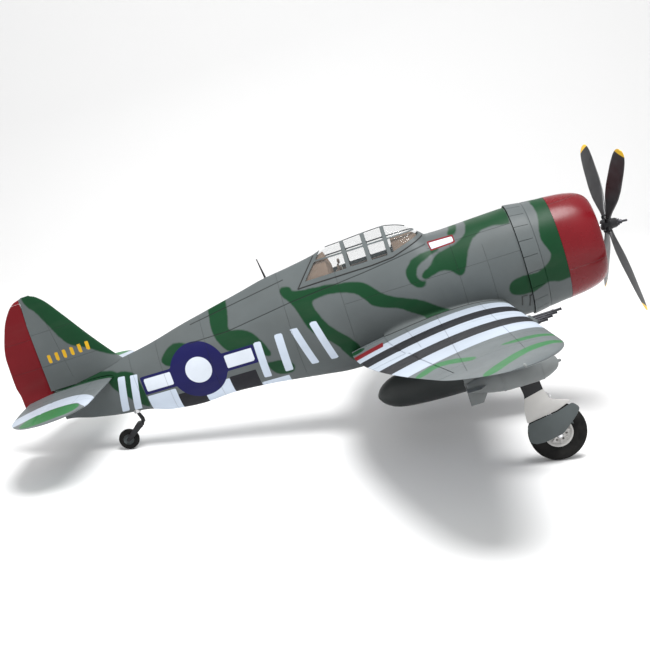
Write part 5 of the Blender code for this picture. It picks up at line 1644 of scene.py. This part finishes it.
def make_floor():
    """A floor that curves up into a wall on the far side from the camera."""
    near, far, bend_radius, top, half = -8, 2.4, 1.2, 9, 40
    curve = [math.pi / 2 * i / 16 for i in range(1, 17)]
    rows = [(near, 0), (far, 0)]
    rows += [(far + bend_radius * math.sin(t), bend_radius - bend_radius * math.cos(t)) for t in curve]
    rows.append((far + bend_radius, top))
    floor = bpy.data.meshes.new("floor")
    form = bmesh.new()
    ends = [[form.verts.new((x, y, z - 0.0006)) for y, z in rows] for x in (-half, half)]
    for i in range(len(rows) - 1):
        form.faces.new((ends[0][i], ends[1][i], ends[1][i + 1], ends[0][i + 1]))
    form.to_mesh(floor)
    form.free()
    floor.shade_smooth()
    made = bpy.data.materials.new("pale_floor")
    made.use_nodes = True
    shader = made.node_tree.nodes["Principled BSDF"]
    shader.inputs["Base Color"].default_value = (0.82, 0.82, 0.82, 1)
    shader.inputs["Roughness"].default_value = 0.9
    floor.materials.append(made)
    into_scene("floor", floor)


def soft_light(name, where, size, power):
    lamp = bpy.data.lights.new(name, "AREA")
    lamp.shape = "DISK"
    lamp.size = size
    lamp.energy = power
    made = into_scene(name, lamp)
    made.location = where
    aim = Vector((0, 0, 0.2)) - Vector(where)
    made.rotation_euler = aim.to_track_quat("-Z", "Y").to_euler()


def make_lights():
    world = bpy.data.worlds.new("studio")
    world.use_nodes = True
    sky = world.node_tree.nodes["Background"]
    sky.inputs["Color"].default_value = (1.0, 1.0, 1.0, 1)
    sky.inputs["Strength"].default_value = 0.74
    bpy.context.scene.world = world
    bpy.context.scene.view_settings.view_transform = "Standard"
    soft_light("key", (0.5, -0.9, 3.0), 1.5, 115)
    soft_light("fill", (-2.4, -2.2, 1.8), 2.0, 10)
    soft_light("rim", (-0.6, 2.4, 2.2), 1.8, 16)


def make_camera():
    """The right side, seen from slightly above."""
    data = bpy.data.cameras.new("camera")
    data.lens = 58.05
    data.sensor_width = 36
    data.clip_start = 0.01
    data.clip_end = 60
    spot = Vector((-370.52, -1754.52, 300.34))
    ahead = Vector((-0.0728, 0.9813, -0.1784)).normalized()
    up = Vector((0.3009, 0.1922, 0.9341))
    right = ahead.cross(up).normalized()
    up = right.cross(ahead)
    turn = TURN.to_3x3() @ Matrix((right, up, -ahead)).transposed()
    made = into_scene("camera", data)
    made.matrix_world = Matrix.Translation(AIR @ spot) @ turn.to_4x4()
    bpy.context.scene.camera = made


make_floor()
make_lights()
make_camera()
make_fuselage()
make_cowl()
make_root_fairing()
make_engine()
make_propeller()
make_canopy()
make_tub()
make_seat()
make_instruments()
make_cockpit_trim()
make_wings()
make_tail()
make_main_legs()
make_leg_covers()
make_sliders()
make_main_wheels()
make_tail_gear()
make_tank()
make_bombs()
make_mast()
finish_plain_nodes()
